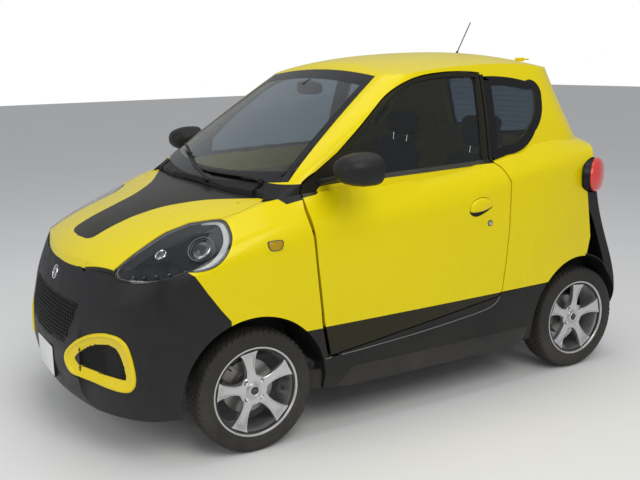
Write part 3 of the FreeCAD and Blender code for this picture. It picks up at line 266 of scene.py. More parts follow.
leather = grained("wheel_leather", (0.022, 0.021, 0.020), 0.25, (0.45, 0.6), 1500.0, 0.0002)
soft_trim = grained("soft_trim", (0.016, 0.016, 0.018), 0.2, (0.6, 0.75), 1200.0, 0.0002, shine=0.3)
dial_face = grained("dial_face", (0.05, 0.055, 0.06), 0.1, grain=400.0, depth=0.00002)
mirror_face = grained("mirror_face", (0.85, 0.87, 0.88), 0.02, (0.02, 0.04), 200.0, 0.00001, metallic=1.0,
                      strength=0.05)
# Light grey for the painted highlight line along the sills
painted_highlight_grey = grained("painted_highlight_grey", (0.17, 0.17, 0.17), 0.1, (0.4, 0.5))
cap_dark = grained("cap_dark", (0.03, 0.03, 0.032), 0.2, (0.25, 0.4), 600.0, 0.00005)
disc_steel = grained("brake_steel", (0.32, 0.31, 0.30), 0.3, (0.3, 0.5), 240.0, 0.0002, metallic=0.9)
clear_glass = glass("windscreen_glass", (0.70, 0.78, 0.82))
dark_glass = glass("tinted_glass", (0.33, 0.39, 0.45))
lamp_glass = glass("lamp_lens", (0.93, 0.95, 0.96), ior=1.3)
amber_lens = glass("amber_clear_lens", (0.95, 0.72, 0.42), 0.05)
projector_glass = glass("projector_glass", (0.92, 0.95, 0.97), 0.02, 1.5)

NODE_MATERIALS = {
    paint: "fender_left fender_right roof_panel tailgate",
    door_paint: "door_left door_right",
    frame_paint: "side_frame_left side_frame_right",
    lid_paint: "bonnet_lid",
    bumper_black: "front_bumper rear_bumper mirror_left mirror_right",
    bumper_dark: "sill_covers",
    trim_black: "cowl_panel wheel_liners dashboard steering_wheel aerial",
    ring_yellow: "fog_surrounds",
    red_lens: "tail_lamps",
    steel_dark: "front_subframe front_struts rear_axle floor_pan battery_pack",
    cast: "knuckle_left knuckle_right drive_motor",
    alloy: "rim_front_left rim_front_right rim_rear_left rim_rear_right",
    rubber: "tyre_front_left tyre_front_right tyre_rear_left tyre_rear_right",
    cloth: "seat_left seat_right",
    clear_glass: "windscreen",
    dark_glass: "door_glass_left door_glass_right quarter_glasses tailgate_glass",
    lamp_glass: "headlamps",
}
for material, names in NODE_MATERIALS.items():
    for name in names.split():
        nodes[name].data.materials.clear()
        nodes[name].data.materials.append(material)


# Mesh helpers. Outlines, profiles and sections are in millimetres, and meshes in metres.
class Form:
    """Collects surfaces of one or more materials, which become one mesh."""

    def __init__(self):
        self.bm = bmesh.new()
        self.materials = []

    def grid(self, rows, material, wrap_rows=False, wrap_columns=True, caps=False):
        if material not in self.materials:
            self.materials.append(material)
        made = [[self.bm.verts.new(point) for point in row] for row in rows]
        count = len(rows[0])
        faces = []
        for first, second in list(zip(made, made[1:])) + ([(made[-1], made[0])] if wrap_rows else []):
            for i in range(count if wrap_columns else count - 1):
                j = (i + 1) % count
                faces.append(self.bm.faces.new((first[i], first[j], second[j], second[i])))
        if caps:
            faces += [self.bm.faces.new(made[0]), self.bm.faces.new(made[-1])]
        for face in faces:
            face.material_index = self.materials.index(material)

    def turned(self, spot, profile, material, segments=48):
        """A turned surface. Its profile of depths and radii is closed unless it reaches the axis."""
        rows = [[spot(a, r, angle) for a, r in profile] for angle in ring_angles(segments)]
        self.grid(rows, material, wrap_rows=True, wrap_columns=min(r for _, r in profile) > AXIS)

    def done(self, name, body, slot, replaces=(), angle=30.0, recalc=True):
        bmesh.ops.remove_doubles(self.bm, verts=self.bm.verts, dist=1e-6)
        if recalc:
            bmesh.ops.recalc_face_normals(self.bm, faces=self.bm.faces)
        for edge in self.bm.edges:
            edge.smooth = len(edge.link_faces) == 2 and edge.calc_face_angle(0.0) < math.radians(angle)
        for face in self.bm.faces:
            face.smooth = True
        mesh = bpy.data.meshes.new(name)
        self.bm.to_mesh(mesh)
        self.bm.free()
        for material in self.materials:
            mesh.materials.append(material)
        piece = add_object(name, mesh)
        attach(piece, body)
        if replaces:
            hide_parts(*replaces)


AXIS = 0.02


def mm(x, y, z):
    return Vector((x, y, z)) / 1000.0


def ring_angles(count):
    return [2 * math.pi * i / count for i in range(count)]


def flat_of(centre, normal):
    """A function of place across, place up and lift on a plane."""
    out = Vector(normal).normalized()
    across = Vector((0, 0, 1)).cross(out).normalized()
    above = out.cross(across)
    return lambda u, v, lift=0.0: centre + (across * u + above * v + out * lift) / 1000


def frame_of(centre, normal):
    """A function of depth along the normal, radius and angle, for turned pieces."""
    flat = flat_of(centre, normal)
    return lambda a, r, angle: flat(r * math.sin(angle), r * math.cos(angle), a)


def oval(count, half_u, half_v, power=1.0):
    """Points round an oval, which is squarer when the power is smaller."""
    def part(value):
        return math.copysign(abs(value) ** power, value)
    return [(half_u * part(math.cos(a)), half_v * part(math.sin(a))) for a in ring_angles(count)]


def rounded(half_u, half_v, radius, steps=5):
    """Points round a rectangle with round corners."""
    points = []
    for su, sv, start in ((1, 1, 0), (-1, 1, 90), (-1, -1, 180), (1, -1, 270)):
        for i in range(steps + 1):
            turn = radius * Vector((math.cos(math.radians(start + 90 * i / steps)),
                                    math.sin(math.radians(start + 90 * i / steps))))
            points.append(Vector((su * (half_u - radius), sv * (half_v - radius))) + turn)
    return points


def plates(spot, radius, sizes):
    """Round-cornered rectangles of several half sizes and lifts, as rows for a grid."""
    return [[spot(u, v, lift) for u, v in rounded(half_u, half_v, radius)] for half_u, half_v, lift in sizes]


def rings(spot, shape, sizes, side=1, middle=Vector((0, 0))):
    """A flat shape at several scales and lifts, as rows for a grid."""
    return [[spot(side * q.x, q.y, lift) for q in (middle + (p - middle) * scale for p in shape)]
            for scale, lift in sizes]


def trace(entries, pitch=14.0):
    """Points along an outline whose entries are line ends, or an arc's middle and end."""
    points = []
    here = complex(*entries[0])
    loop = list(entries[1:])
    if abs(complex(*loop[-1][-2:]) - here) > 1e-6:
        loop.append(entries[0])
    for entry in loop:
        end = complex(*entry[-2:])
        if len(entry) == 4:
            middle = complex(*entry[:2])
            w = (end - here) / (middle - here)
            centre = here - (here - middle) * (w - abs(w) ** 2) / 2j / w.imag
            half, sweep = [cmath.phase((p - centre) / (here - centre)) % (2 * math.pi) for p in (middle, end)]
            if half > sweep:
                sweep -= 2 * math.pi
            count = max(2, int(abs(sweep) * abs(here - centre) / pitch))
            points += [centre + (here - centre) * cmath.exp(1j * sweep * i / count) for i in range(count)]
        else:
            count = max(1, int(abs(end - here) / pitch))
            points += [here + (end - here) * i / count for i in range(count)]
        here = end
    return [Vector((p.real, p.imag)) for p in points]


def spline(points, steps=4, closed=True):
    """A smooth line through points, closed or with two ends."""
    points = [Vector(p) for p in points]
    before, after = (points[-1:], points[:2]) if closed else (points[:1], points[-1:])
    run = before + points + after
    found = []
    for a, b, c, d in zip(run, run[1:], run[2:], run[3:]):
        for t in (k / steps for k in range(steps)):
            found.append(0.5 * (2 * b + (c - a) * t + (2 * a - 5 * b + 4 * c - d) * t * t
                                + (3 * b - a - 3 * c + d) * t ** 3))
    return found if closed else found + points[-1:]


def inset(points, distance):
    """The closed outline moved towards its inside by a distance."""
    area = sum(a.x * b.y - b.x * a.y for a, b in zip(points, points[1:] + points[:1]))
    sign = 1.0 if area > 0 else -1.0
    moved = []
    for before, point, after in zip(points[-1:] + points, points, points[1:] + points[:1]):
        came, goes = (point - before).normalized(), (after - point).normalized()
        along = (came + goes).normalized()
        normal = Vector((-along.y, along.x)) * sign
        moved.append(point + normal * distance / max(0.5, normal.dot(Vector((-came.y, came.x)) * sign)))
    return moved


@functools.cache
def tree_of(*names):
    bm = bmesh.new()
    for name in names:
        bm.from_mesh(nodes[name].data)
    tree = BVHTree.FromBMesh(bm)
    bm.free()
    return tree


SIDE = (lambda u, v: mm(u, 3000, v), Vector((0, -1, 0)))
FRONT = (lambda u, v: mm(3000, u, v), Vector((-1, 0, 0)))
BACK = (lambda u, v: mm(-3000, u, v), Vector((1, 0, 0)))
ABOVE = (lambda u, v: mm(u, v, 3000), Vector((0, 0, -1)))


def plane_axes(normal, along):
    u_axis = (along - normal * normal.dot(along)).normalized()
    return u_axis, normal.cross(u_axis)


def plane_view(origin, normal, along, far=0.5):
    """A look at a plane along its normal, for on_surface()."""
    u_axis, v_axis = plane_axes(normal, along)
    return (lambda u, v: origin + (u_axis * u + v_axis * v) / 1000 + normal * far, -normal)


def on_surface(tree, view, u, v, lift=0.0):
    """The first point that a straight look at (u, v) meets, lifted, and its normal."""
    place, direction = view
    hit, normal, _, _ = tree.ray_cast(place(u, v), direction)
    if hit is None:
        hit, normal, _, _ = tree.find_nearest(place(u, v) + direction * 3.0)
    if normal.dot(direction) > 0:
        normal = -normal
    return hit + normal * (lift / 1000), normal


def lay(tree, view, points, lift=0.0, side=1):
    """Points laid on a surface, and mirrored for the right side."""
    return flip([on_surface(tree, view, u, v, lift)[0] for u, v in points], side)


def flip(points, side):
    return [Vector((p.x, p.y * side, p.z)) for p in points]


def border(form, node, view, outline, width, side=1):
    """A thin black band on a glass, just inside its outline."""
    outer, inner = inset(outline, 1.0), inset(outline, width)
    rows = [lay(tree_of(node), view, points, lift, side)
            for points, lift in ((outer, 0.1), (outer, 0.5), (inner, 0.5), (inner, 0.1))]
    form.grid(rows, frit_and_painted_shade_black, wrap_rows=True)


def each(value, index):
    return value[index] if isinstance(value, list) else value


def tube(form, points, radius, material, segments=8):
    """A round bar along points, with a radius or a list of radii in metres."""
    rows = []
    for i, point in enumerate(points):
        along = (points[min(i + 1, len(points) - 1)] - points[max(i - 1, 0)]).normalized()
        across = Vector((0, 0, 1)).cross(along)
        across = across.normalized() if across.length > 1e-4 else Vector((1, 0, 0)).cross(along).normalized()
        above = along.cross(across)
        rows.append([point + (across * math.cos(a) + above * math.sin(a)) * each(radius, i)
                     for a in ring_angles(segments)])
    form.grid(rows, material, caps=True)


def bar(form, points, half_wide, half_high, material, up=(0, 0, 1)):
    """A bar of four flat sides along points, with a number or a list for each half size in metres."""
    rows = []
    for i, point in enumerate(points):
        along = (points[min(i + 1, len(points) - 1)] - points[max(i - 1, 0)]).normalized()
        across = Vector(up).cross(along).normalized()
        wide, high = across * each(half_wide, i), along.cross(across) * each(half_high, i)
        rows.append([point + wide * a + high * b for a, b in ((1, 1), (-1, 1), (-1, -1), (1, -1))])
    form.grid(rows, material, caps=True)


# Wheels
WHEEL_X = {"front": 0.7475, "rear": -1.0175}
WHEEL_Y, AXLE_Z = 0.672, 0.252
SPOKE_TURN = {"front": math.radians(8), "rear": math.radians(-6)}
# Tread: place across the tyre, radius, and how deep the cross grooves are there
TREAD = [(0, 252, 0.3), (7.5, 252, 0.3), (8, 246.5, 0), (12, 246.5, 0), (12.5, 251.9, 1), (20, 251.8, 1),
         (28, 251.6, 1), (28.5, 246, 0), (33, 245.8, 0), (33.5, 251.3, 1), (45, 250.6, 1), (54, 249.4, 1),
         (60, 247.6, 1), (65, 244.2, 0.8), (68.6, 238, 0.35)]
WALL = [(70.6, 230, 0), (72, 220, 0), (72.4, 211, 0), (71.5, 205, 0), (72.4, 203.5, 0), (72.2, 200, 0),
        (71.2, 198.6, 0), (69.4, 189, 0), (66.6, 184.6, 0), (63.5, 180, 0), (61.5, 168, 0)]
# Tread block: share of its pitch, and share of the groove's depth
BLOCK = [(0.0, 0.0), (0.03, 1.0), (0.20, 1.0), (0.23, 0.0), (0.58, 0.0), (0.60, 0.4), (0.63, 0.4), (0.65, 0.0)]
BLOCKS, GROOVE, SKEW = 56, 5.6, 0.0026
BARREL = [(60, 183.2), (64.5, 184.6), (67.2, 183.4), (67.6, 180.5), (66.4, 177.4), (62, 174.8), (56, 169.6),
          (46, 165.4), (20, 161.4), (-30, 160.6), (-58, 164), (-64, 172), (-66.4, 183), (-63.6, 184.6), (-60, 183),
          (-57.6, 166.6), (-30, 164.4), (20, 164.8), (50, 166.8), (58, 170.4)]
HUB = [(30, AXIS), (44.6, AXIS), (45.4, 26), (43.4, 29), (43.4, 33), (45.8, 37), (45, 57), (41.5, 62), (30, 62)]
CAP = [(44, AXIS), (50.4, AXIS), (50, 17), (48.6, 18.2), (48.6, 20.4), (50, 22), (47.6, 27.6), (43, 28)]
BRAKES = {"front": [(-28, 32), (-28, 112), (-24, 112), (-24, 105), (-20, 105), (-20, 112), (-16, 112), (-16, 62),
                    (-6, 60), (-6, 32)],
          "rear": [(-46, 60), (-46, 101), (-38, 104), (-32, 101), (-16, 100), (-12, 96), (-12, 30), (-20, 30),
                   (-20, 60)]}
# Spoke: radius, half width, outer face, inner face, and how deep its channel is
SPOKES = [(38, 30, 44.5, 12, 0), (52, 25, 45.2, 14, 0), (66, 20.5, 46.6, 17, 0.0), (80, 18.6, 48.4, 20, 1.2),
          (96, 18.8, 50.4, 24, 3.0), (112, 21, 52.6, 28, 4.0), (128, 24.6, 55, 32, 4.4), (142, 28.4, 57.4, 35, 4.2),
          (152, 32, 59.4, 38, 2.4), (158, 36, 60.6, 40, 0.0), (165, 42, 61.4, 41, 0.0)]
# Share of the half width, and the drop there: edges in millimetres, the channel as a share
ACROSS = [(-1.0, 5.0), (-0.97, 1.8), (-0.84, 0.0), (-0.70, 0.0), (-0.62, -1.0), (-0.3, -1.1), (0.3, -1.1),
          (0.62, -1.0), (0.70, 0.0), (0.84, 0.0), (0.97, 1.8), (1.0, 5.0)]


def wheel_spot(place, side):
    centre = Vector((WHEEL_X[place], side * WHEEL_Y, AXLE_Z))
    return lambda a, r, angle: centre + Vector((r * math.sin(angle), side * a, r * math.cos(angle))) / 1000


def tyre(place, side, name):
    spot = wheel_spot(place, side)
    columns = [(-a, r, cut) for a, r, cut in reversed(TREAD[1:] + WALL)] + TREAD + WALL
    rows = []
    for block in range(BLOCKS):
        for fraction, depth in BLOCK:
            angle = 2 * math.pi * (block + fraction) / BLOCKS
            rows.append([spot(a, r - depth * cut * GROOVE, angle + SKEW * min(abs(a), TREAD[-1][0]))
                         for a, r, cut in columns])
    form = Form()
    form.grid(rows, rubber, wrap_rows=True)
    form.done("tyre_%s_tread" % name, "wheel_" + name, "tyre", ["tyre_" + name], 35.0)


def rim(place, side, name):
    spot = wheel_spot(place, side)
    turn = SPOKE_TURN[place]
    form = Form()
    form.turned(spot, BARREL, alloy, 96)
    form.turned(spot, HUB, alloy)
    form.turned(spot, CAP, alloy, 40)
    form.turned(spot, [(50.3, AXIS), (50.7, 9), (50.4, 16.6)], cap_dark, 40)
    form.turned(spot, BRAKES[place], disc_steel, 64)
    for base in ring_angles(5):
        rows = []
        for radius, half, outer, inner, channel in SPOKES:
            section = [(u, outer - drop if drop > 0 else outer + drop * channel) for u, drop in ACROSS]
            section += [(u, inner) for u in (0.94, 0.4, -0.4, -0.94)]
            rows.append([spot(a, math.hypot(radius, half * u), turn + base + math.atan2(half * u, radius))
                         for u, a in section])
        form.grid(rows, alloy, caps=True)
    for quarter in ring_angles(4):
        hole = frame_of(spot(45.2, 47, turn + math.pi / 5 + quarter), (0, side, 0))
        form.turned(hole, [(-1, 12.5), (0.6, 12.2), (1.0, 10.6), (0.2, 9.6), (-1, 9.4)], alloy, 24)
        form.turned(hole, [(-0.6, AXIS), (0.15, AXIS), (0.15, 9.7), (-0.6, 9.7)], cap_dark, 24)
        form.grid([[hole(a, r, angle) for angle in ring_angles(6)] for a, r in ((0.1, 6.2), (3.4, 5.4))], chrome,
                  caps=True)
    valve = frame_of(spot(58, 150, turn + math.pi / 5), (0, side, 0))
    form.turned(valve, [(-14, AXIS), (-14, 3.6), (2, 3.2), (3, 2.4), (8, 2.4), (8, AXIS)], trim_black, 12)
    form.done("rim_%s_alloy" % name, "wheel_" + name, "alloy", ["rim_" + name], 32.0)


for wheel_place in WHEEL_X:
    for wheel_side, side_name in SIDES:
        for make in (tyre, rim):
            make(wheel_place, wheel_side, "%s_%s" % (wheel_place, side_name))

# Outlines on the panels, the same as the CAD panels'
WINDSCREEN = [(-632, 1054), (0, 1022, 632, 1054), (468, 1452), (0, 1480, -468, 1452)]
REAR_WINDOW = [(-425, 1095), (0, 1085, 425, 1095), (370, 1420), (0, 1440, -370, 1420)]
QUARTER_WINDOW = [(-493, 1064), (-528, 1438), (-663, 1432, -788, 1410), (-868, 1388, -876, 1330),
                  (-850, 1240, -796, 1180), (-714, 1112, -599, 1086)]
DOOR_WINDOW = [(286, 1050), (286, 1126), (185, 1220), (50, 1325), (-70, 1401, -194, 1432), (-335, 1443, -479, 1436),
               (-441, 1069), (-200, 1062)]
WINDOW_MIDDLE = Vector((-120, 1240))
# The waist seal's front end, as distance forward and height, and its rise to the rear
SEAL_FRONT, SEAL_SLOPE = (286, 1043), 0.0275
HEATER_LINES, HEATER_PITCH = 9, 28
# On the left side's panels, as distance forward and height
HANDLE, LOCK, REPEATER = (-366, 880), (-420, 801), (652, 833)
HANDLE_EDGE = [(-68, -10), (-63, 13), (-43, 31), (-19, 40), (6, 42), (34, 37), (56, 24), (66, 8), (68, -6), (49, -17),
               (25, -29), (-3, -39), (-31, -43), (-53, -35), (-65, -24)]
HANDLE_FLAP = [(-65, -9), (-60, 13), (-41, 29), (-18, 37), (6, 39), (33, 34), (54, 22), (64, 7), (62, -3), (49, -8),
               (22, -16), (-6, -21), (-31, -22), (-56, -20)]
REPEATER_SHAPE = [Vector(p) for p in ((-34, 14), (-28, 19), (0, 21), (28, 19), (34, 14), (32, -4), (24, -17),
                                      (12, -21), (-12, -21), (-24, -17), (-32, -4))]


def glass_borders():
    form = Form()
    border(form, "windscreen", FRONT, trace(WINDSCREEN, 30), 40.0)
    form.done("windscreen_border", "body", "black_plastic")
    form = Form()
    for side, _ in SIDES:
        border(form, "quarter_glasses", SIDE, trace(QUARTER_WINDOW, 16), 42.0, side)
    form.done("quarter_borders", "body", "black_plastic")
    form = Form()
    border(form, "tailgate_glass", BACK, trace(REAR_WINDOW, 24), 34.0)
    for row in range(HEATER_LINES):
        line = [(y, 1150 + row * HEATER_PITCH) for y in range(-340, 341, 40)]
        tube(form, lay(tree_of("tailgate_glass"), BACK, line, -5.6), 0.0007, copper_line, segments=4)
    form.done("rear_window_border", "tailgate", "black_plastic")


def waist_seals():
    waist = [(x, SEAL_FRONT[1] + (SEAL_FRONT[0] - x) * SEAL_SLOPE) for x in range(284, -452, -24)]
    edge = [p + (WINDOW_MIDDLE - p).normalized() * 2 for p in trace(DOOR_WINDOW, 22) if p.y > 1068 and p.x > -478]
    for side, name in SIDES:
        form = Form()
        bar(form, lay(tree_of("door_left"), SIDE, waist, 1.5, side), 0.0045, 0.009, seal_grey, (0, 0.35 * side, 1))
        tube(form, lay(tree_of("door_glass_left"), SIDE, edge, 1.0, side), 0.0045, seal_black, segments=6)
        form.done("window_seals_%s" % name, "door_" + name, "black_plastic")


def door_fittings():
    edge, flap = spline(HANDLE_EDGE), spline(HANDLE_FLAP)
    lens = [a.lerp(b, f) for a, b in zip(REPEATER_SHAPE, REPEATER_SHAPE[1:] + REPEATER_SHAPE[:1])
            for f in (0, 0.33, 0.67)]
    for side, name in SIDES:
        handle, lock, repeater = [flip(on_surface(tree_of(node), SIDE, *place), side) for node, place in
                                  (("door_left", HANDLE), ("door_left", LOCK), ("fender_left", REPEATER))]
        form = Form()
        spot = flat_of(*handle)
        form.grid(rings(spot, edge, ((1.07, -1), (1.05, 1.2), (1.02, 1.9), (0.985, 1.5), (0.965, -1)), side), paint)
        # A flat near-black sheet inside the rim: painted shade standing in for the recess under the flap
        form.grid(rings(spot, edge, ((0.985, 0.5), (0.6, 0.5), (0.05, 0.5)), side), frit_and_painted_shade_black)
        form.grid(rings(spot, flap, ((1.0, 0.6), (1.0, 5.0), (0.97, 8.2), (0.9, 11.6), (0.78, 14.4), (0.58, 16.6),
                                     (0.3, 18.0), (0.02, 18.4)), side, Vector((-2, 6))), paint, caps=True)
        form.done("door_handle_%s" % name, "door_" + name, "yellow_paint")
        form = Form()
        spot, flat = frame_of(*lock), flat_of(*lock)
        form.turned(spot, [(-1, 14), (1.0, 14), (1.8, 12.6), (1.4, 10.4), (1.6, 10), (1.8, AXIS)], seal_grey, 28)
        form.turned(spot, [(1.0, 9), (2.6, 8.6), (2.8, 7.6), (2.6, AXIS)], chrome, 28)
        form.grid([[flat(u, v, lift) for u, v in ((-1, -5), (1, -5), (1, 5), (-1, 5))] for lift in (2.4, 3.0)],
                  seal_black, caps=True)
        form.done("door_lock_%s" % name, "door_" + name, "alloy")
        form = Form()
        for sizes, material in ((((1.0, -1), (1.0, 1.4), (0.93, 2.4), (0.86, 2.2)), seal_grey),
                                (((0.88, 1.0), (0.86, 3.6), (0.76, 5.4), (0.4, 6.6), (0.02, 6.8)), amber_lens)):
            form.grid(rings(flat_of(*repeater), lens, sizes, side), material)
        form.done("side_repeater_%s" % name, "body", "lamp_clear")


# The strip along each sill as lift and height, and along the car as x, lower end's rise and share of lift
SILL_TOP = 277
SILL_STRIP = [(-2, 277), (5, 277), (9, 274.5), (10.5, 269), (10.5, 203), (8, 194), (3, 190), (-4, 189)]
SILL_ENDS = ([(497, 0.0, 0.75), (494, 0.0, 1.0)] + [(x, 0.0, 1.0) for x in (300, 100, -100, -300, -500, -590)]
             + [(-625, 0.08, 1.0), (-650, 0.24, 1.0), (-664, 0.46, 1.0), (-671, 0.76, 0.9), (-673, 0.96, 0.5)])
# A light grey line along the sill's top edge that runs up to the door's rear corner: a painted highlight on that edge
SILL_HIGHLIGHT = [(494, 325), (413, 335), (300, 341), (150, 350), (0, 360), (-150, 373), (-300, 388), (-400, 401),
             (-450, 415), (-478, 434), (-489, 452)]


def sill_trim():
    tree = tree_of("sill_covers", "door_left")
    for side, name in SIDES:
        form = Form()
        rows = []
        for x, lower, share in SILL_ENDS:
            base = on_surface(tree, SIDE, max(-660, min(480, x)), 236)[0].y * 1000
            rows.append([mm(x, side * (base + lift * share), SILL_TOP - (SILL_TOP - z) * (1 - lower))
                         for lift, z in SILL_STRIP])
        form.grid(rows, sill_grey, caps=True)
        form.done("sill_strip_%s" % name, "body", "grey_plastic")
        form = Form()
        # A thin light grey tube laid on the crease, as painted highlight
        path = lay(tree, SIDE, spline(SILL_HIGHLIGHT, closed=False), 0.6, side)
        tube(form, path, [0.0012] + [0.0022] * (len(path) - 2) + [0.0008], painted_highlight_grey, segments=6)
        form.done("sill_highlight_line_%s" % name, "body", "grey_plastic")


# The bonnet's front lip: half its straight edge, and the curve that it reaches in front
LIP_EDGE = [(1262, 286), (1266, 264), (1271, 236), (1276, 208), (1280, 178), (1284, 145), (1287, 108), (1289, 70),
            (1290, 35), (1290, 0)]
LIP_BACK = 1250
LIP_PROFILE = [(0.0, -2.0), (0.0, 0.8)] + [(k / 16, 2.2) for k in range(1, 16)] + [(0.98, 1.5), (1.0, -3.0)]


def bonnet_lip():
    tree = tree_of("front_bumper", "bonnet_lid")
    places = [*range(1240, 1263, 2), *range(1272, 1302, 2)]
    rows = []
    for x, y in LIP_EDGE + [(x, -y) for x, y in reversed(LIP_EDGE[:-1])]:
        heights = [on_surface(tree, ABOVE, place, y)[0].z * 1000 for place in places]
        spots = [(LIP_BACK + (x - LIP_BACK) * share, lift) for share, lift in LIP_PROFILE]
        rows.append([mm(place, y, float(numpy.interp(place, places, heights)) + lift) for place, lift in spots])
    form = Form()
    form.grid(rows, paint, wrap_columns=False)
    form.done("bonnet_lip", "bonnet", "yellow_paint")


def hexagons(start, rows, columns, pitch, inside):
    """The edges, each once, of a net of hexagons wherever inside(u, v) holds."""
    radius = pitch / math.sqrt(3)
    edges = {}
    for row in rows:
        for column in columns:
            u, v = start[0] + (column + 0.5 * (row % 2)) * pitch, start[1] + row * 1.5 * radius
            if inside(u, v):
                corners = [(u + radius * math.sin(a), v + radius * math.cos(a)) for a in ring_angles(6)]
                for first, second in zip(corners, corners[1:] + corners[:1]):
                    edges.setdefault((round(first[0] + second[0]), round(first[1] + second[1])), (first, second))
    return edges.values()


# Front end
BADGE = (0, 671)
PLATE_CENTRE, PLATE_HALF = mm(1379.6, 0, 318), (120.0, 65.0)
GRILLE_TOP, GRILLE_TAPER = 612, 0.36
GRILLE_RIB = 0.0016


def front_details():
    bumper = tree_of("front_bumper")

    def in_grille(y, z):
        return (abs(y) < 318 - (GRILLE_TOP - z) * GRILLE_TAPER
                and 430 + abs(y) * 0.12 < z < 592 + abs(y) * 0.03)

    form = Form()
    patch = []
    for z in range(424, 606, 13):
        half = 326 - (GRILLE_TOP - z) * GRILLE_TAPER
        patch.append(lay(bumper, FRONT, [(half * k / 14, min(z + abs(k) * 0.9, 604)) for k in range(-14, 15)], 0.6))
    form.grid(patch, mesh_dark, wrap_columns=False)
    for first, second in hexagons((-320, 428), range(13), range(38), 17.0, in_grille):
        start, normal = on_surface(bumper, FRONT, *first, 1.6)
        end = on_surface(bumper, FRONT, *second, 1.6)[0]
        bar(form, [start, end], GRILLE_RIB, GRILLE_RIB * 1.2, bumper_black, normal)
    form.done("front_grille", "body", "black_plastic", recalc=False)
    form = Form()
    spot = frame_of(*on_surface(bumper, FRONT, *BADGE))
    form.turned(spot, [(-2, 31), (3, 31), (4.4, 29.6), (4.6, 27.8), (3.6, 26), (2.4, 25.6), (-2, 25.6)], chrome)
    form.turned(spot, [(-1, 25.8), (2.2, 25.8), (3.0, 18), (3.4, AXIS)], cap_dark)
    form.turned(spot, [(2.6, 17.2), (3.9, 16.6), (4.2, 15), (3.9, 13.4), (2.8, 12.8)], chrome)
    form.done("plain_badge", "body", "alloy")
    form = Form()
    spot = flat_of(PLATE_CENTRE, (1, 0, 0))
    for grow, back, front, material in ((4.0, -12.0, 0.4, trim_black), (0.0, 0.0, 1.4, plate_white)):
        shape = rounded(PLATE_HALF[0] + grow, PLATE_HALF[1] + grow, 7 + grow)
        form.grid([[spot(u, v, back) for u, v in shape], [spot(u, v, front - 0.5) for u, v in shape],
                   [spot(u * 0.994, v * 0.99, front) for u, v in shape]], material, caps=True)
    for u in (-86, 86):
        bolt = frame_of(spot(u, 46, 1.4), (1, 0, 0))
        form.turned(bolt, [(-1, 5), (0.6, 4.8), (1.3, 3.4), (1.3, AXIS)], chrome, 16)
    form.done("front_plate", "body", "black_plastic")


# Fog lamps, in a plane that faces the bumper's corner
FOG_NORMAL = Vector((0.88, 0.47, 0.0)).normalized()
FOG_VIEW = plane_view(mm(1300, 480, 425), FOG_NORMAL, Vector((-0.47, 0.88, 0)))
FOG_MIDDLE = Vector((10, -25))
# The CAD recess, the ring's outer edge and its opening
FOG_RECESS = [(-218, -40), (-200, 10, -150, 38), (90, 112), (160, 108, 184, 55), (200, -20, 190, -80),
              (182, -104, 150, -108), (-170, -108), (-212, -96, -218, -40)]
FOG_EDGE = [(-222, -41), (-206, -13), (-170, 17), (-119, 50), (-64, 76), (-10, 93), (43, 103), (85, 103), (119, 98),
            (144, 83), (159, 63), (170, 32), (179, -7), (184, -47), (182, -77), (173, -98), (156, -114), (134, -120),
            (98, -121), (36, -118), (-31, -113), (-104, -107), (-173, -101), (-204, -86), (-219, -64)]
FOG_OPENING = [(-155, -34), (-122, -6), (-80, 20), (-31, 39), (15, 49), (55, 51), (83, 45), (100, 28), (113, 3),
               (122, -27), (128, -58), (126, -73), (107, -76), (61, -74), (-4, -70), (-68, -66), (-110, -59),
               (-140, -48)]
# Where the bumper's depth is measured, on its face and on the recess's floor
FOG_ON_FACE = ((-130, -40), (-150, -60), (-150, -25), (-172, -50), (-130, -85), (-100, -75), (-40, -70), (30, -70),
               (100, -80), (165, -40), (170, 10), (120, 80), (40, 80), (-80, 30), (-130, 5), (-190, -70))
FOG_ON_FLOOR = ((0, 0), (50, 10), (100, 20), (130, 0), (-40, 0), (-70, -10), (60, -25), (100, -30), (20, -20),
                (90, 50), (50, 40), (0, 30))
FOG_FLOOR_DEPTH, FOG_BACK_LIFT = 14, -12.95
# The ring's section: share of the way from its edge to its opening, and lift
FOG_PROFILE = ((0.0, -13), (0.0, 0.4), (0.02, 4.2), (0.07, 7.2), (0.14, 8.8), (0.21, 8.6), (0.28, 6.9), (0.33, 4.0),
               (0.37, 1.6), (0.42, 0.6), (0.56, -2.0), (0.74, -6.4), (0.88, -9.6), (0.95, -10.2), (0.99, -11.0),
               (1.0, -13.2))


def toward_edge(outline, direction):
    """Where a line from the lamp's middle leaves a closed outline."""
    for first, second in zip(outline, outline[1:] + outline[:1]):
        edge, away = second - first, first - FOG_MIDDLE
        cross = direction.cross(edge)
        if abs(cross) < 1e-9:
            continue
        reach, share = away.cross(edge) / cross, away.cross(direction) / cross
        if reach > 0 and -1e-6 <= share <= 1 + 1e-6:
            return FOG_MIDDLE + direction * reach
    return FOG_MIDDLE + direction


def quartic(u, v):
    return [(u / 100) ** i * (v / 100) ** j for i in range(5) for j in range(5 - i)]


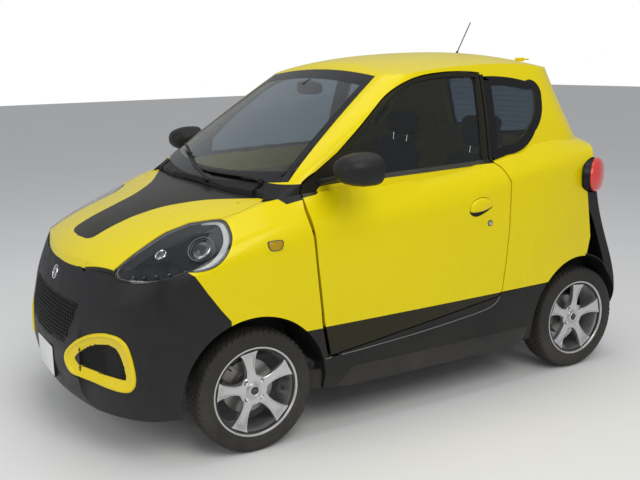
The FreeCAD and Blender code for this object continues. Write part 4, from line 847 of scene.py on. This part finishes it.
def fog_surface():
    """The bumper's outer surface at the lamp, as if the lamp's recess were not in it."""
    place, look = FOG_VIEW

    def depth_at(u, v, *names):
        return (on_surface(tree_of(*names), FOG_VIEW, u, v)[0] - place(u, v)).dot(look) * 1000

    whole = ("front_bumper", "fog_surrounds")
    spots = [FOG_MIDDLE + (point - FOG_MIDDLE) * share for point in trace(FOG_RECESS, 18)
             for share in (1.06, 1.12, 0.86, 0.92)]
    samples = [(spot, 0) for spot in (*spots, *FOG_ON_FACE)] + [(spot, FOG_FLOOR_DEPTH) for spot in FOG_ON_FLOOR]
    rows = numpy.array([quartic(*spot) for spot, _ in samples])
    depths = numpy.array([depth_at(*spot, *whole) - sunk for spot, sunk in samples])
    weight = numpy.ones(len(depths))
    for _ in range(12):
        found = numpy.linalg.lstsq(rows * weight[:, None], depths * weight, rcond=None)[0]
        weight = 1 / (1 + numpy.abs(rows @ found - depths))

    def spot_at(u, v, lift, settle=0.0, proud=False):
        depth = float(found @ numpy.array(quartic(u, v))) + settle - lift
        if proud and lift > FOG_BACK_LIFT:
            depth = min(depth, depth_at(u, v, "front_bumper") - 0.4 - (13 + lift) * 0.06)
        return place(u, v) + look * (depth / 1000)

    def settle_at(u, v):
        off = depth_at(u, v, *whole) - float(found @ numpy.array(quartic(u, v)))
        return off if abs(off) < 9 else 0.0
    return spot_at, settle_at


def fog_units():
    spot_at, settle_at = fog_surface()
    inner, recess = spline(FOG_OPENING), trace(FOG_RECESS, 9)
    pairs, flange = [], []
    for point in spline(FOG_EDGE):
        direction = (point - FOG_MIDDLE).normalized()
        pairs.append((point, toward_edge(inner, direction)))
        reach = max((p - FOG_MIDDLE).length for p in (point, toward_edge(recess, direction)))
        flange.append(FOG_MIDDLE + direction * (reach + 5))
    sinks = [settle_at(*edge) for edge in flange]
    sinks = [sum(sinks[(i + k) % len(sinks)] for k in range(-3, 4)) / 7 for i in range(len(sinks))]
    ring = [[spot_at(*a.lerp(b, share), lift, sink * (1 - share), True) for share, lift in FOG_PROFILE]
            for (a, b), sink in zip(pairs, sinks)]
    skirt = [[spot_at(*a.lerp(b, 0.06), 0.3, sink), spot_at(*edge, 0.6, settle_at(*edge)), spot_at(*edge, -3, sink)]
             for (a, b), edge, sink in zip(pairs, flange, sinks)]
    back = [[spot_at(*(FOG_MIDDLE + (b - FOG_MIDDLE) * share), lift) for _, b in pairs]
            for share, lift in ((1.02, -12.2), (0.97, -12.6), (0.7, -12.9), (0.35, -12.9), (0.02, -12.9))]

    def in_mesh(u, v):
        away = Vector((u, v)) - FOG_MIDDLE
        return away.length < 1 or away.length < (toward_edge(inner, away.normalized()) - FOG_MIDDLE).length - 3

    ribs = [[spot_at(*end, -11.4) for end in edge]
            for edge in hexagons(FOG_MIDDLE, range(-8, 13), range(-18, 15), 12.0, in_mesh)]
    for side, name in SIDES:
        form = Form()
        form.grid([flip(row, side) for row in ring], ring_yellow, wrap_rows=True)
        form.grid([flip(row, side) for row in skirt], bumper_black, wrap_rows=True, wrap_columns=False)
        form.done("fog_ring_%s" % name, "body", "yellow_plastic", ["fog_surrounds"], 40.0)
        form = Form()
        form.grid([flip(row, side) for row in back], mesh_dark)
        for ends in ribs:
            bar(form, flip(ends, side), 0.0012, 0.0017, bumper_black, (FOG_NORMAL.x, FOG_NORMAL.y * side, 0))
        form.done("fog_mesh_%s" % name, "body", "black_plastic", recalc=False)


# Headlamps
LAMP_ORIGIN = mm(1000, 600, 830)
LAMP_NORMAL, LAMP_BACK = Vector((0.38, 0.60, 0.70)).normalized(), Vector((-1, 0.3, 0.3))
LAMP_AXES = plane_axes(LAMP_NORMAL, LAMP_BACK)
LAMP_VIEW = plane_view(LAMP_ORIGIN, LAMP_NORMAL, LAMP_BACK)
PROJECTOR, PROJECTOR_AXIS = mm(914, 635, 833), Vector((0.62, 0.42, 0.66))
CRESCENT, CRESCENT_STEPS, CRESCENT_DROP = (848, 693, 865), 24, 13
SMALL_LENS, SMALL_AXIS = (1056, 577, 828), Vector((0.7, 0.4, 0.6))
LEDS = [(1171, 582, 757), (1142, 618, 760), (1105, 650, 766), (1064, 681, 773), (1013, 709, 784)]
LENS_SHARES = (0.96, 0.88, 0.76, 0.62, 0.48, 0.34, 0.2, 0.08, 0.0)
# The lamp's parts: share of its reach, distance in from its edge, and lift
LENS_RIM = [(1, 1.0, -3.0), (1, 0.7, -1.6), (1, 1.2, -0.4), (1, 2.6, 0.0)]
LAMP_HOUSING = [(1, 0.9, -3.2), (1, 0.9, -18), (1, 8, -44), (0.7, 0, -54), (0.3, 0, -55), (0.0, 0, -55),
                (0.0, 0, -52), (0.3, 0, -52), (0.66, 0, -50), (0.86, 0, -38), (1, 11, -20), (1, 9, -8), (1, 8.6, -3.8)]
LAMP_BEZEL = [(1, 8.4, -4.2), (1, 10.8, -4.4), (1, 12.2, -7.0), (1, 9.2, -7.4)]


def lamp_uv(x, y, z):
    away = (mm(x, y, z) - LAMP_ORIGIN) * 1000
    return [away.dot(axis) for axis in LAMP_AXES]


def lens_reach(tree, angles):
    """How far the lamp's outer face reaches from its middle in each direction."""
    found = []
    for angle in angles:
        low, high = 60.0, 265.0
        for _ in range(12):
            middle = (low + high) / 2
            origin = LAMP_VIEW[0](middle * math.cos(angle), middle * math.sin(angle))
            hit, normal, _, _ = tree.ray_cast(origin, LAMP_VIEW[1])
            if hit is not None and normal.dot(LAMP_NORMAL) > 0.3:
                low = middle
            else:
                high = middle
        found.append(low)
    return found


def headlamp(side, name):
    tree = tree_of("headlamps")
    angles = ring_angles(96)
    reach = lens_reach(tree, angles)

    def at(share, drop, lift):
        reached = [max(r * share - drop, 0.2) for r in reach]
        spots = [(r * math.cos(a), r * math.sin(a)) for a, r in zip(angles, reached)]
        return lay(tree, LAMP_VIEW, spots, lift, side)

    def fitting(place, lift, axis=None):
        base, normal = flip(on_surface(tree, LAMP_VIEW, *lamp_uv(*place), lift), side)
        return frame_of(base, normal.lerp(flip([axis], side)[0], 0.5) if axis else normal)

    form = Form()
    rows = LENS_RIM + [(share, 0, 0.0) for share in LENS_SHARES]
    rows += [(share, 0, -2.8) for share in reversed(LENS_SHARES)] + [(1, 5.0, -2.8)]
    form.grid([at(*row) for row in rows], lamp_glass, wrap_rows=True)
    form.done("headlamp_lens_%s" % name, "body", "lamp_clear", ["headlamps"])

    form = Form()
    form.grid([at(*row) for row in LAMP_HOUSING], lamp_black, wrap_rows=True)
    form.grid([at(*row) for row in LAMP_BEZEL], lamp_grey, wrap_rows=True)
    spot = frame_of(*flip([PROJECTOR, PROJECTOR_AXIS], side))
    form.turned(spot, [(-24, 53), (0, 53), (2.2, 52), (2.6, 50.4), (1.6, 48.8), (-1, 48.2), (-24, 47)], lamp_grey, 56)
    form.turned(spot, [(-1, 48.4), (-4, 44), (-10, 38.6), (-12, 37), (-24, 37), (-24, 48.4)], lamp_black)
    form.turned(spot, [(-6, 41.6), (-4.6, 42.6), (-5.4, 43.4), (-7.6, 42.6)], lamp_grey)
    form.turned(spot, [(-20, 36.8), (-17, 20), (-16, AXIS)], lamp_black)
    form.turned(spot, [(-14, AXIS), (-14, 34), (-11, 36.6), (-7, 36), (-1, 31), (3.4, 22), (5.6, 11), (6.2, AXIS)],
                projector_glass)
    u, v = lamp_uv(*CRESCENT)
    rows = []
    for number in range(CRESCENT_STEPS + 1):
        share = number / CRESCENT_STEPS
        angle = math.atan2(v, u) + math.radians(-58 + 112 * share)
        r = angle_value(reach, angle)
        width = 3.0 + 19 * math.sin(math.pi * share)
        row = []
        for drop, lift in ((CRESCENT_DROP, -11), (CRESCENT_DROP, -7.5), (CRESCENT_DROP + width, -11),
                           (CRESCENT_DROP + width, -14)):
            row += lay(tree, LAMP_VIEW, [((r - drop) * math.cos(angle), (r - drop) * math.sin(angle))], lift, side)
        rows.append(row)
    form.grid(rows, lamp_white, caps=True)
    spot = fitting(SMALL_LENS, -15, SMALL_AXIS)
    form.turned(spot, [(-14, 23.5), (2, 23.5), (3.6, 22), (2.0, 19.6), (-4, 18.6), (-14, 18)], chrome, 40)
    form.turned(spot, [(-8, 18.5), (-6, 10), (-5, AXIS)], lamp_grey, 40)
    form.turned(spot, [(-4, AXIS), (-4, 18), (-1, 17.6), (2.6, 13), (4.4, 6), (4.8, AXIS)], projector_glass, 40)
    for led in LEDS:
        spot = fitting(led, -13)
        form.turned(spot, [(-16, 8.6), (0, 8.6), (1.0, 7.8), (0.4, 6.4), (-3, 5.4), (-16, 5.4)], lamp_black, 20)
        form.turned(spot, [(-4, AXIS), (-4, 5.3), (-1, 5.0), (1.4, 3.0), (2.0, AXIS)], lamp_grey, 20)
    form.done("headlamp_inside_%s" % name, "body", "lamp_clear")


def angle_value(values, angle):
    """The value at an angle, between values at even angles."""
    part = (angle % (2 * math.pi)) / (2 * math.pi) * len(values)
    first, second = values[int(part) % len(values)], values[(int(part) + 1) % len(values)]
    return first + (second - first) * (part - int(part))


# Door mirrors: distance forward, and half width and half height there
MIRROR_Y, MIRROR_Z = 868, 1112
MIRROR_SECTIONS = [(280, 80, 52), (278.5, 86, 58.5), (281, 88.5, 62), (290, 89.6, 64), (316, 90, 64.6),
                   (345, 89.4, 64), (372, 83.5, 59.6), (396, 74, 53), (414, 63.5, 45.4), (426, 51, 35.4),
                   (433, 38, 25), (435.6, 20, 12), (436, 0.2, 0.2)]
MIRROR_POCKET = [(280, 80, 52), (288, 79, 51), (288, 0.2, 0.2)]
MIRROR_GLASS = [(287.5, 77.6, 49.6), (285.8, 77.4, 49.4), (285.2, 76.6, 48.6), (284.6, 40, 25), (284.4, 0.2, 0.2)]
MIRROR_SEAM = [(352, 87.9, 62.4), (352.6, 86.1, 60.6), (355.4, 86.1, 60.6), (356, 87.7, 62.2)]

# The mirror's arm: share of its length, half length and half height
MIRROR_ARM = [(0, 29, 15), (0.25, 26, 13.4), (0.5, 23.4, 12.2), (0.75, 22.6, 11.6), (1, 22.6, 11.4)]


def door_mirror(side, name):
    form = Form()
    for sections, material in ((MIRROR_SECTIONS, bumper_black), (MIRROR_POCKET, trim_black),
                               (MIRROR_GLASS, mirror_face), (MIRROR_SEAM, seal_black)):
        form.grid([[mm(x, side * (MIRROR_Y + u), MIRROR_Z + v) for u, v in oval(56, half_y, half_z, 0.8)]
                   for x, half_y, half_z in sections], material)
    form.grid([[mm(388 - 18 * share + u, side * (645 + 175 * share), 1041.5 + 40 * share + v)
                for u, v in oval(28, half_x, half_z, 0.75)] for share, half_x, half_z in MIRROR_ARM],
              bumper_black, caps=True)
    form.done("mirror_%s_housing" % name, "door_" + name, "black_plastic", ["mirror_" + name], 40.0)


# Wipers and the inner mirror
INNER_MIRROR_Z = 1394


def wiper(form, tree, pivot, elbow, tip, blade_start, blade_end, rise):
    foot, normal = on_surface(tree, FRONT, *pivot)
    form.turned(frame_of(foot, normal), [(-6, 13), (6, 12.6), (10, 11), (11, 7), (11.4, AXIS)], bumper_black, 24)
    pivot, elbow, tip, first, last = [Vector(p) for p in (pivot, elbow, tip, blade_start, blade_end)]
    path = [pivot.lerp(elbow, t / 4) for t in range(4)] + [elbow.lerp(tip, t / 8) for t in range(9)]
    arm = [on_surface(tree, FRONT, *p, 13 - 0.3 * abs(i - 4))[0] for i, p in enumerate(path)]
    bar(form, arm, [0.0085 - 0.0045 * i / (len(path) - 1) for i in range(len(path))], 0.0028, bumper_black, normal)
    line = [first.lerp(last, i / 14) + Vector((0, rise * math.sin(math.pi * i / 14))) for i in range(15)]
    bar(form, lay(tree, FRONT, line, 8.5), 0.0048, 0.0026, bumper_black, normal)
    bar(form, lay(tree, FRONT, line, 3.4), 0.0016, 0.0030, seal_black, normal)
    middle = lay(tree, FRONT, [line[7]], 10.5)[0]
    bar(form, [middle + Vector((0, y, 0)) for y in (0.03, 0, -0.03)], 0.0075, 0.003, bumper_black, normal)


def glass_line(y, above):
    return y, 1022 + 32 * (y / 632.0) ** 2 + above


def windscreen_fittings():
    form = Form()
    tree = tree_of("windscreen", "cowl_panel", "bonnet_lid")
    wiper(form, tree, (120, 1019), (40, 1032), (-400, 1088), (-70, 1047), (-545, 1111), 4)
    second = ((500, 2), (430, 12), (80, 20), (330, 22), (-120, 26))
    wiper(form, tree, *(glass_line(y, above) for y, above in second), -6)
    form.done("wipers", "body", "black_plastic")
    form = Form()
    rows = []
    for x, wide, high in ((52, 104, 25), (50, 110, 30), (56, 112, 32), (66, 108, 30), (76, 80, 20), (80, 0.2, 0.2)):
        rows.append([mm(x - 6 * math.cos(a) ** 2, u, INNER_MIRROR_Z + v)
                     for a, (u, v) in zip(ring_angles(40), oval(40, wide, high, 0.55))])
    form.grid(rows, trim_black)
    form.grid([[mm(x, u, INNER_MIRROR_Z + v) for u, v in oval(40, wide, high, 0.55)]
               for x, wide, high in ((51, 103, 24.5), (50.6, 0.2, 0.2))], mirror_face)
    top = lay(tree_of("windscreen"), FRONT, [(0, 1438)], -8)
    tube(form, [mm(70, 0, 1396), mm(84, 0, 1412), *top], 0.009, trim_black, segments=12)
    form.done("inner_mirror", "body", "trim_plastic")


# Tail lamps: lift, half width and half height
TAIL_NORMAL, TAIL_CENTRE = Vector((-0.53, 0.85, 0)).normalized(), Vector((-1140, 742, 955))
TAIL_LAMP = [(-26, 108, 83), (-20, 106.5, 82.6), (-14, 100.6, 81.6), (-4, 86.6, 76.6), (1, 77, 69.6),
             (6, 65.4, 61.4), (9.4, 51, 47.5), (11.4, 36, 32), (11.8, 18, 16), (11.9, 0.2, 0.2)]
TAIL_HOUSING = [(-30, 106, 81), (-58, 112, 86), (-58, 0.2, 0.2), (-54, 0.2, 0.2), (-52, 90, 66), (-32, 99, 75)]


def tail_lamp(side, name):
    centre, normal = flip([TAIL_CENTRE, TAIL_NORMAL], side)

    def at(out, half_u, half_v):
        along = Vector((0, 0, 1)).cross(normal)
        return [(centre + normal * out + along * u + Vector((0, 0, v))) / 1000 for u, v in oval(56, half_u, half_v)]

    form = Form()
    inside = [(out - 3.2, max(half_u - 2.4, 0.2), max(half_v - 2.4, 0.2))
              for out, half_u, half_v in reversed(TAIL_LAMP)]
    form.grid([at(*row) for row in TAIL_LAMP + inside], red_lens, wrap_rows=True)
    form.done("tail_lamp_lens_%s" % name, "body", "lamp_red", ["tail_lamps"])
    form = Form()
    form.grid([at(*row) for row in TAIL_HOUSING], lamp_black, wrap_rows=True)
    for lift, radius, lens in ((34, 30, lamp_white), (-34, 33, red_lens)):
        spot = frame_of((centre + Vector((0, 0, lift)) - normal * 20) / 1000, normal)
        form.turned(spot, [(-30, radius), (0, radius), (2, radius - 1.5), (0, radius - 3), (-14, radius - 9),
                           (-20, AXIS)], chrome, 40)
        form.turned(spot, [(-4, AXIS), (-4, radius - 4), (-1, radius - 4.5), (3, radius * 0.6), (5, AXIS)], lens, 40)
    form.done("tail_lamp_inside_%s" % name, "body", "lamp_red")


# Rear end
def rear_details():
    form = Form()
    tree, pane = tree_of("rear_bumper", "tailgate", "tailgate_glass", "roof_panel"), tree_of("tailgate_glass")
    spot = flat_of(Vector((on_surface(tree, BACK, 0, 560)[0].x, 0, 0.560)), (-1, 0, 0))
    form.grid(plates(spot, 14, ((276, 78, -6), (276, 78, 2.5), (270, 72, 3.5), (262, 64, 1.5), (262, 64, -3))),
              bumper_black)
    form.grid(rings(spot, rounded(262, 64, 14), ((1, -3), (0.01, -3))), trim_black)
    form.grid(plates(spot, 8, ((258, 56, -3), (258, 56, 0.2), (257, 55, 0.8))), plate_white, caps=True)
    for u in (-120, 120):
        bolt = frame_of(spot(u, 40, 0.6), (-1, 0, 0))
        form.turned(bolt, [(-1, 5), (1.2, 4.8), (2.0, 3.4), (2.0, AXIS)], chrome, 16)
    for side, _ in SIDES:
        spot = flat_of(*on_surface(tree, BACK, 520 * side, 400))
        form.grid(plates(spot, 8, ((48, 16, -3), (48, 16, 1.6), (46.5, 14.5, 2.4))), reflector_red, caps=True)
    form.done("rear_plate_and_reflectors", "body", "black_plastic")
    form = Form()
    form.grid([lay(tree, BACK, [(u, 1012 + v) for u, v in rounded(half_u, half_v, min(half_v, 12))], lift)
               for half_u, half_v, lift in ((92, 17, -3), (92, 17, 3), (88, 14, 8), (70, 10, 10), (0.5, 0.2, 10))],
              bumper_black)
    foot, normal = on_surface(tree, BACK, 0, 1062)
    form.turned(frame_of(foot, normal), [(-4, 20), (8, 18.5), (14, 14), (15, AXIS)], bumper_black, 28)
    arm = lay(pane, BACK, [(10 * t, 1098 + 1.2 * t) for t in range(0, 26, 5)], 15)
    bar(form, [foot + normal * 0.012] + arm, 0.0052, 0.0032, bumper_black, normal)
    blade = lay(pane, BACK, [(-60 + 20 * t, 1106 + 2.0 * t) for t in range(18)], 7)
    bar(form, blade, 0.0034, 0.0052, seal_black, normal)
    form.done("tailgate_handle_and_wiper", "tailgate", "black_plastic")


# Interior
STEER_CENTRE, STEER_TILT = mm(150, 330, 905), math.radians(25)
STEER_AXIS = Vector((-math.cos(STEER_TILT), 0, math.sin(STEER_TILT)))
STEER_RADIUS = 178
SEAT_Y = 330
HOOD_Z, DIAL_Z = 955, 968
VENT_RADIUS = 31


def steering():
    form = Form()
    spot = frame_of(STEER_CENTRE, STEER_AXIS)
    form.grid([[spot(12.5 * math.cos(a), STEER_RADIUS + 11.5 * math.sin(a), angle) for a in ring_angles(14)]
               for angle in ring_angles(72)], leather, wrap_rows=True)
    form.turned(spot, [(-50, 24), (-20, 40), (-8, 56), (2, 60), (7, 54), (9, 30), (9.4, AXIS)], trim_black)
    form.turned(spot, [(8.6, 22), (9.8, 21), (10.4, 18), (10.0, AXIS)], lamp_grey, 36)
    for turn in (math.pi / 2, -math.pi / 2, math.pi):
        path = [spot(a, r, turn) for a, r in ((-4, 40), (-6, 90), (-6, 130), (-3, 172))]
        bar(form, path, [0.026, 0.017, 0.014, 0.02], [0.008, 0.006, 0.0055, 0.007], trim_black, STEER_AXIS)
    form.done("steering_wheel_rim", "steering_wheel", "trim_plastic", ["steering_wheel"], 40.0)


def dashboard_parts():
    form = Form()
    rows = []
    for x, half, top in ((292, 118, 978), (300, 124, 1004), (350, 126, 1012), (420, 118, 1006), (480, 100, 984)):
        rows.append([mm(x, SEAT_Y + half * math.cos(math.pi * i / 24),
                        HOOD_Z + (top - HOOD_Z) * math.sin(math.pi * i / 24) ** 0.8) for i in range(25)])
    form.grid(rows, soft_trim, wrap_columns=False)
    form.grid([[mm(296, SEAT_Y + u, DIAL_Z + v) for u, v in oval(40, r, r * 0.36)] for r in (110, 100, 0.2)],
              lamp_black)
    for away, r in ((0, 42), (74, 26), (-74, 26)):
        dial = frame_of(mm(294, SEAT_Y + away, DIAL_Z), (-1, 0, 0))
        form.turned(dial, [(-1, r), (3, r), (3.4, r - 2), (1, r - 4), (-1, r - 4)], chrome, 36)
        form.turned(dial, [(0.4, r - 4), (0.6, AXIS)], dial_face, 36)
    form.grid(plates(flat_of(mm(296, 0, 900), (-1, 0, 0.25)), 10,
                     ((100, 66, -30), (100, 66, 2), (97, 63, 5), (86, 50, 4), (0.2, 0.2, 4))), lamp_black)
    for y in (-480, -110, 150, 500):
        vent = frame_of(mm(268 + (abs(y) > 400) * 4, y, 872), (-1, 0, 0.1))
        form.turned(vent, [(-8, 40), (6, 40), (8, 37), (4, 33), (-6, VENT_RADIUS), (-8, VENT_RADIUS)], lamp_grey,
                    40)
        for height in (-22, -11, 0, 11, 22):
            span = math.sqrt(VENT_RADIUS ** 2 - height ** 2)
            ends = [vent(0, math.hypot(height, span), math.atan2(span * s, height)) for s in (-1, 1)]
            bar(form, ends, 0.005, 0.001, trim_black, (-0.4, 0, 1))
    form.done("dashboard_details", "body", "trim_plastic")


# Seats: each pad starts from a slightly smaller block and is swollen as cloth
CUSHION = [(-40, 408), (-300, 404), (-500, 400), (-530, 462), (-478, 508), (-300, 524), (-110, 546), (-52, 545),
           (-36, 512), (-34, 440)]
BACKREST = [(-470, 500), (-540, 436), (-590, 470), (-650, 690), (-700, 860), (-742, 1040), (-730, 1062), (-690, 1078),
            (-660, 1064), (-636, 960), (-600, 800), (-540, 620)]
HEADREST = [(-772, 1092), (-774, 1220), (-756, 1244), (-724, 1246), (-700, 1226), (-694, 1150), (-702, 1092),
            (-736, 1084)]
# Share of the half width, and the outline's scale there
PAD_SECTIONS = ((-1.0, 0.80), (-0.93, 0.93), (-0.7, 0.99), (-0.35, 1.0), (0.0, 0.985), (0.35, 1.0), (0.7, 0.99),
                (0.93, 0.93), (1.0, 0.80))
CLOTH = {"quality": 4, "mass": 0.3, "use_pressure": True, "uniform_pressure_force": 4.0, "tension_stiffness": 12,
         "compression_stiffness": 12, "bending_stiffness": 0.6}
CLOTH_FRAMES = 20


def pad_block(name, outline, half, taper=0.0):
    """A closed block whose sides pull in, narrower towards its top by the taper."""
    points = [Vector(p) for p in outline]
    middle = sum(points, Vector((0, 0))) / len(points)
    form = Form()
    rows = []
    for share, shrink in PAD_SECTIONS:
        spots = [(middle + (p - middle) * shrink, 1 - taper * max(0.0, (p.y - 760) / 300)) for p in points]
        rows.append([mm(spot.x, share * half * waist, spot.y) for spot, waist in spots])
    form.grid(rows, cloth, caps=True)
    bmesh.ops.recalc_face_normals(form.bm, faces=form.bm.faces)
    mesh = bpy.data.meshes.new(name)
    form.bm.to_mesh(mesh)
    form.bm.free()
    return add_object(name, mesh)


def evaluated(piece):
    """The piece's mesh after its modifiers."""
    bpy.context.view_layer.update()
    return bpy.data.meshes.new_from_object(piece.evaluated_get(bpy.context.evaluated_depsgraph_get()))


def swollen(piece, voxel, cap):
    """The block as a pad: remeshed, swollen by a short cloth run with its movement capped, and subdivided."""
    remesh = piece.modifiers.new("remesh", "REMESH")
    remesh.mode = "VOXEL"
    remesh.voxel_size = voxel
    start = evaluated(piece)
    piece.modifiers.clear()
    piece.data = start
    before = [v.co.copy() for v in start.vertices]
    settings = piece.modifiers.new("cloth", "CLOTH").settings
    for key, value in CLOTH.items():
        setattr(settings, key, value)
    settings.effector_weights.gravity = 0.0
    for frame_number in range(1, CLOTH_FRAMES + 1):
        scene.frame_set(frame_number)
    result = evaluated(piece)
    piece.modifiers.clear()
    for vertex, origin, moved in zip(start.vertices, before, result.vertices):
        shift = moved.co - origin
        vertex.co = origin + shift * min(1.0, cap / max(shift.length, 1e-9))
    bpy.data.meshes.remove(result)
    scene.frame_set(1)
    level = piece.modifiers.new("smooth", "SUBSURF")
    level.levels = level.render_levels = 1
    smooth = evaluated(piece)
    bpy.data.objects.remove(piece)
    for polygon in smooth.polygons:
        polygon.use_smooth = True
    smooth.materials.clear()
    smooth.materials.append(cloth)
    return smooth


def seats():
    pads = [("cushion", swollen(pad_block("cushion_form", CUSHION, 216), 0.011, 0.012), 0.6),
            ("backrest", swollen(pad_block("backrest_form", BACKREST, 214, 0.16), 0.011, 0.012), 0.6),
            ("headrest", swollen(pad_block("headrest_form", HEADREST, 118), 0.008, 0.006), 0.5)]
    for side, name in SIDES:
        form = Form()
        y = SEAT_Y * side
        for v in (-62, 62):
            tube(form, [mm(-716, y + v, 1050), mm(-728, y + v, 1100)], 0.006, chrome, segments=12)
        for v in (-170, 170):
            bar(form, [mm(-478, y + v, 334), mm(-82, y + v, 334)], 0.016, 0.032, steel_dark)
            bar(form, [mm(-440, y + v, 388), mm(-120, y + v, 388)], 0.012, 0.022, steel_dark)
        bar(form, [mm(-500, y, 402), mm(-60, y, 402)], 0.19, 0.012, trim_black)
        for v in (-1, 1):
            form.turned(frame_of(mm(-520, y + v * 218, 470), (0, v, 0)),
                        [(-16, 44), (4, 44), (6.5, 40), (7, 22), (5, 20), (5, AXIS)], trim_black, 36)
        form.done("seat_frame_%s" % name, "body", "trim_plastic", ["seat_" + name])
        for kind, mesh, fill in pads:
            pad = add_object("seat_%s_%s" % (kind, name), mesh.copy())
            for vertex in pad.data.vertices:
                vertex.co.y += y / 1000
            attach(pad, "body")
    for _, mesh, _ in pads:
        bpy.data.meshes.remove(mesh)


# Body panels shown as they are, with smooth shading
SKINS = {
    "yellow_paint": "door_left door_right side_frame_left side_frame_right fender_left fender_right roof_panel "
                    "tailgate bonnet_lid",
    "black_plastic": "front_bumper rear_bumper cowl_panel",
    "grey_plastic": "sill_covers",
    "glazing": "windscreen door_glass_left door_glass_right quarter_glasses tailgate_glass",
    "trim_plastic": "wheel_liners dashboard",
}
PLATE_RECESS = 0.0035


def dress(node, slot):
    form = Form()
    source = nodes[node]
    form.bm.from_mesh(source.data)
    form.materials.append(source.data.materials[0])
    bmesh.ops.remove_doubles(form.bm, verts=form.bm.verts, dist=2e-5)
    if node == "front_bumper":
        for vert in form.bm.verts:
            if vert.co.x > 1.36 and abs(vert.co.y) < 0.13 and 0.25 < vert.co.z < 0.40:
                vert.co.x -= PLATE_RECESS
    form.done(node + "_skin", source["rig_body"], slot, [node], 28.0, recalc=False)


for skin_slot, names in SKINS.items():
    for name in names.split():
        dress(name, skin_slot)
for part in (glass_borders, waist_seals, door_fittings, sill_trim, bonnet_lip, front_details, fog_units):
    part()
for lamp_side, lamp_name in SIDES:
    for part in (headlamp, door_mirror, tail_lamp):
        part(lamp_side, lamp_name)
for part in (windscreen_fittings, rear_details, steering, dashboard_parts, seats):
    part()

# Floor and light: name, place, size, power and colour
LIGHTS = [
    ("key", (1.0, 4.5, 4.5), 3.2, 120.0, (1.0, 0.98, 0.94)),
    ("front", (5.0, 0.5, 3.0), 2.5, 50.0, (1.0, 1.0, 1.0)),
    ("top", (-0.5, 0.0, 5.5), 4.0, 70.0, (0.97, 0.98, 1.0)),
]
LIGHT_TARGET = Vector((0, 0, 0.6))


def studio():
    bm = bmesh.new()
    bmesh.ops.create_grid(bm, x_segments=8, y_segments=8, size=30.0)
    mesh = bpy.data.meshes.new("floor")
    bm.to_mesh(mesh)
    bm.free()
    floor = add_object("floor", mesh)
    shade = Shade("floor")
    pale = shade.mix(shade.noise(0.8), (0.84, 0.84, 0.84), (0.88, 0.88, 0.88))
    shade.feed(shade.main, {"Base Color": pale, "Roughness": 0.8})
    mesh.materials.append(shade.material)
    scene.world = bpy.data.worlds.new("studio")
    scene.world.use_nodes = True
    tree = scene.world.node_tree
    glow, white = tree.nodes["Background"], tree.nodes.new("ShaderNodeBackground")
    for node, colour, strength in ((glow, (0.95, 0.97, 1.0, 1), 0.42), (white, (1, 1, 1, 1), 1.0)):
        node.inputs["Color"].default_value = colour
        node.inputs["Strength"].default_value = strength
    seen, chosen = tree.nodes.new("ShaderNodeLightPath"), tree.nodes.new("ShaderNodeMixShader")
    for source, target in ((seen.outputs["Is Camera Ray"], chosen.inputs[0]), (glow.outputs[0], chosen.inputs[1]),
                           (white.outputs[0], chosen.inputs[2]),
                           (chosen.outputs[0], tree.nodes["World Output"].inputs["Surface"])):
        tree.links.new(source, target)
    for name, place, size, power, colour in LIGHTS:
        data = bpy.data.lights.new(name, "AREA")
        data.size, data.energy, data.color = size, power, colour
        lamp = add_object(name, data)
        lamp.location = place
        lamp.rotation_euler = (LIGHT_TARGET - Vector(place)).to_track_quat("-Z", "Y").to_euler()


studio()
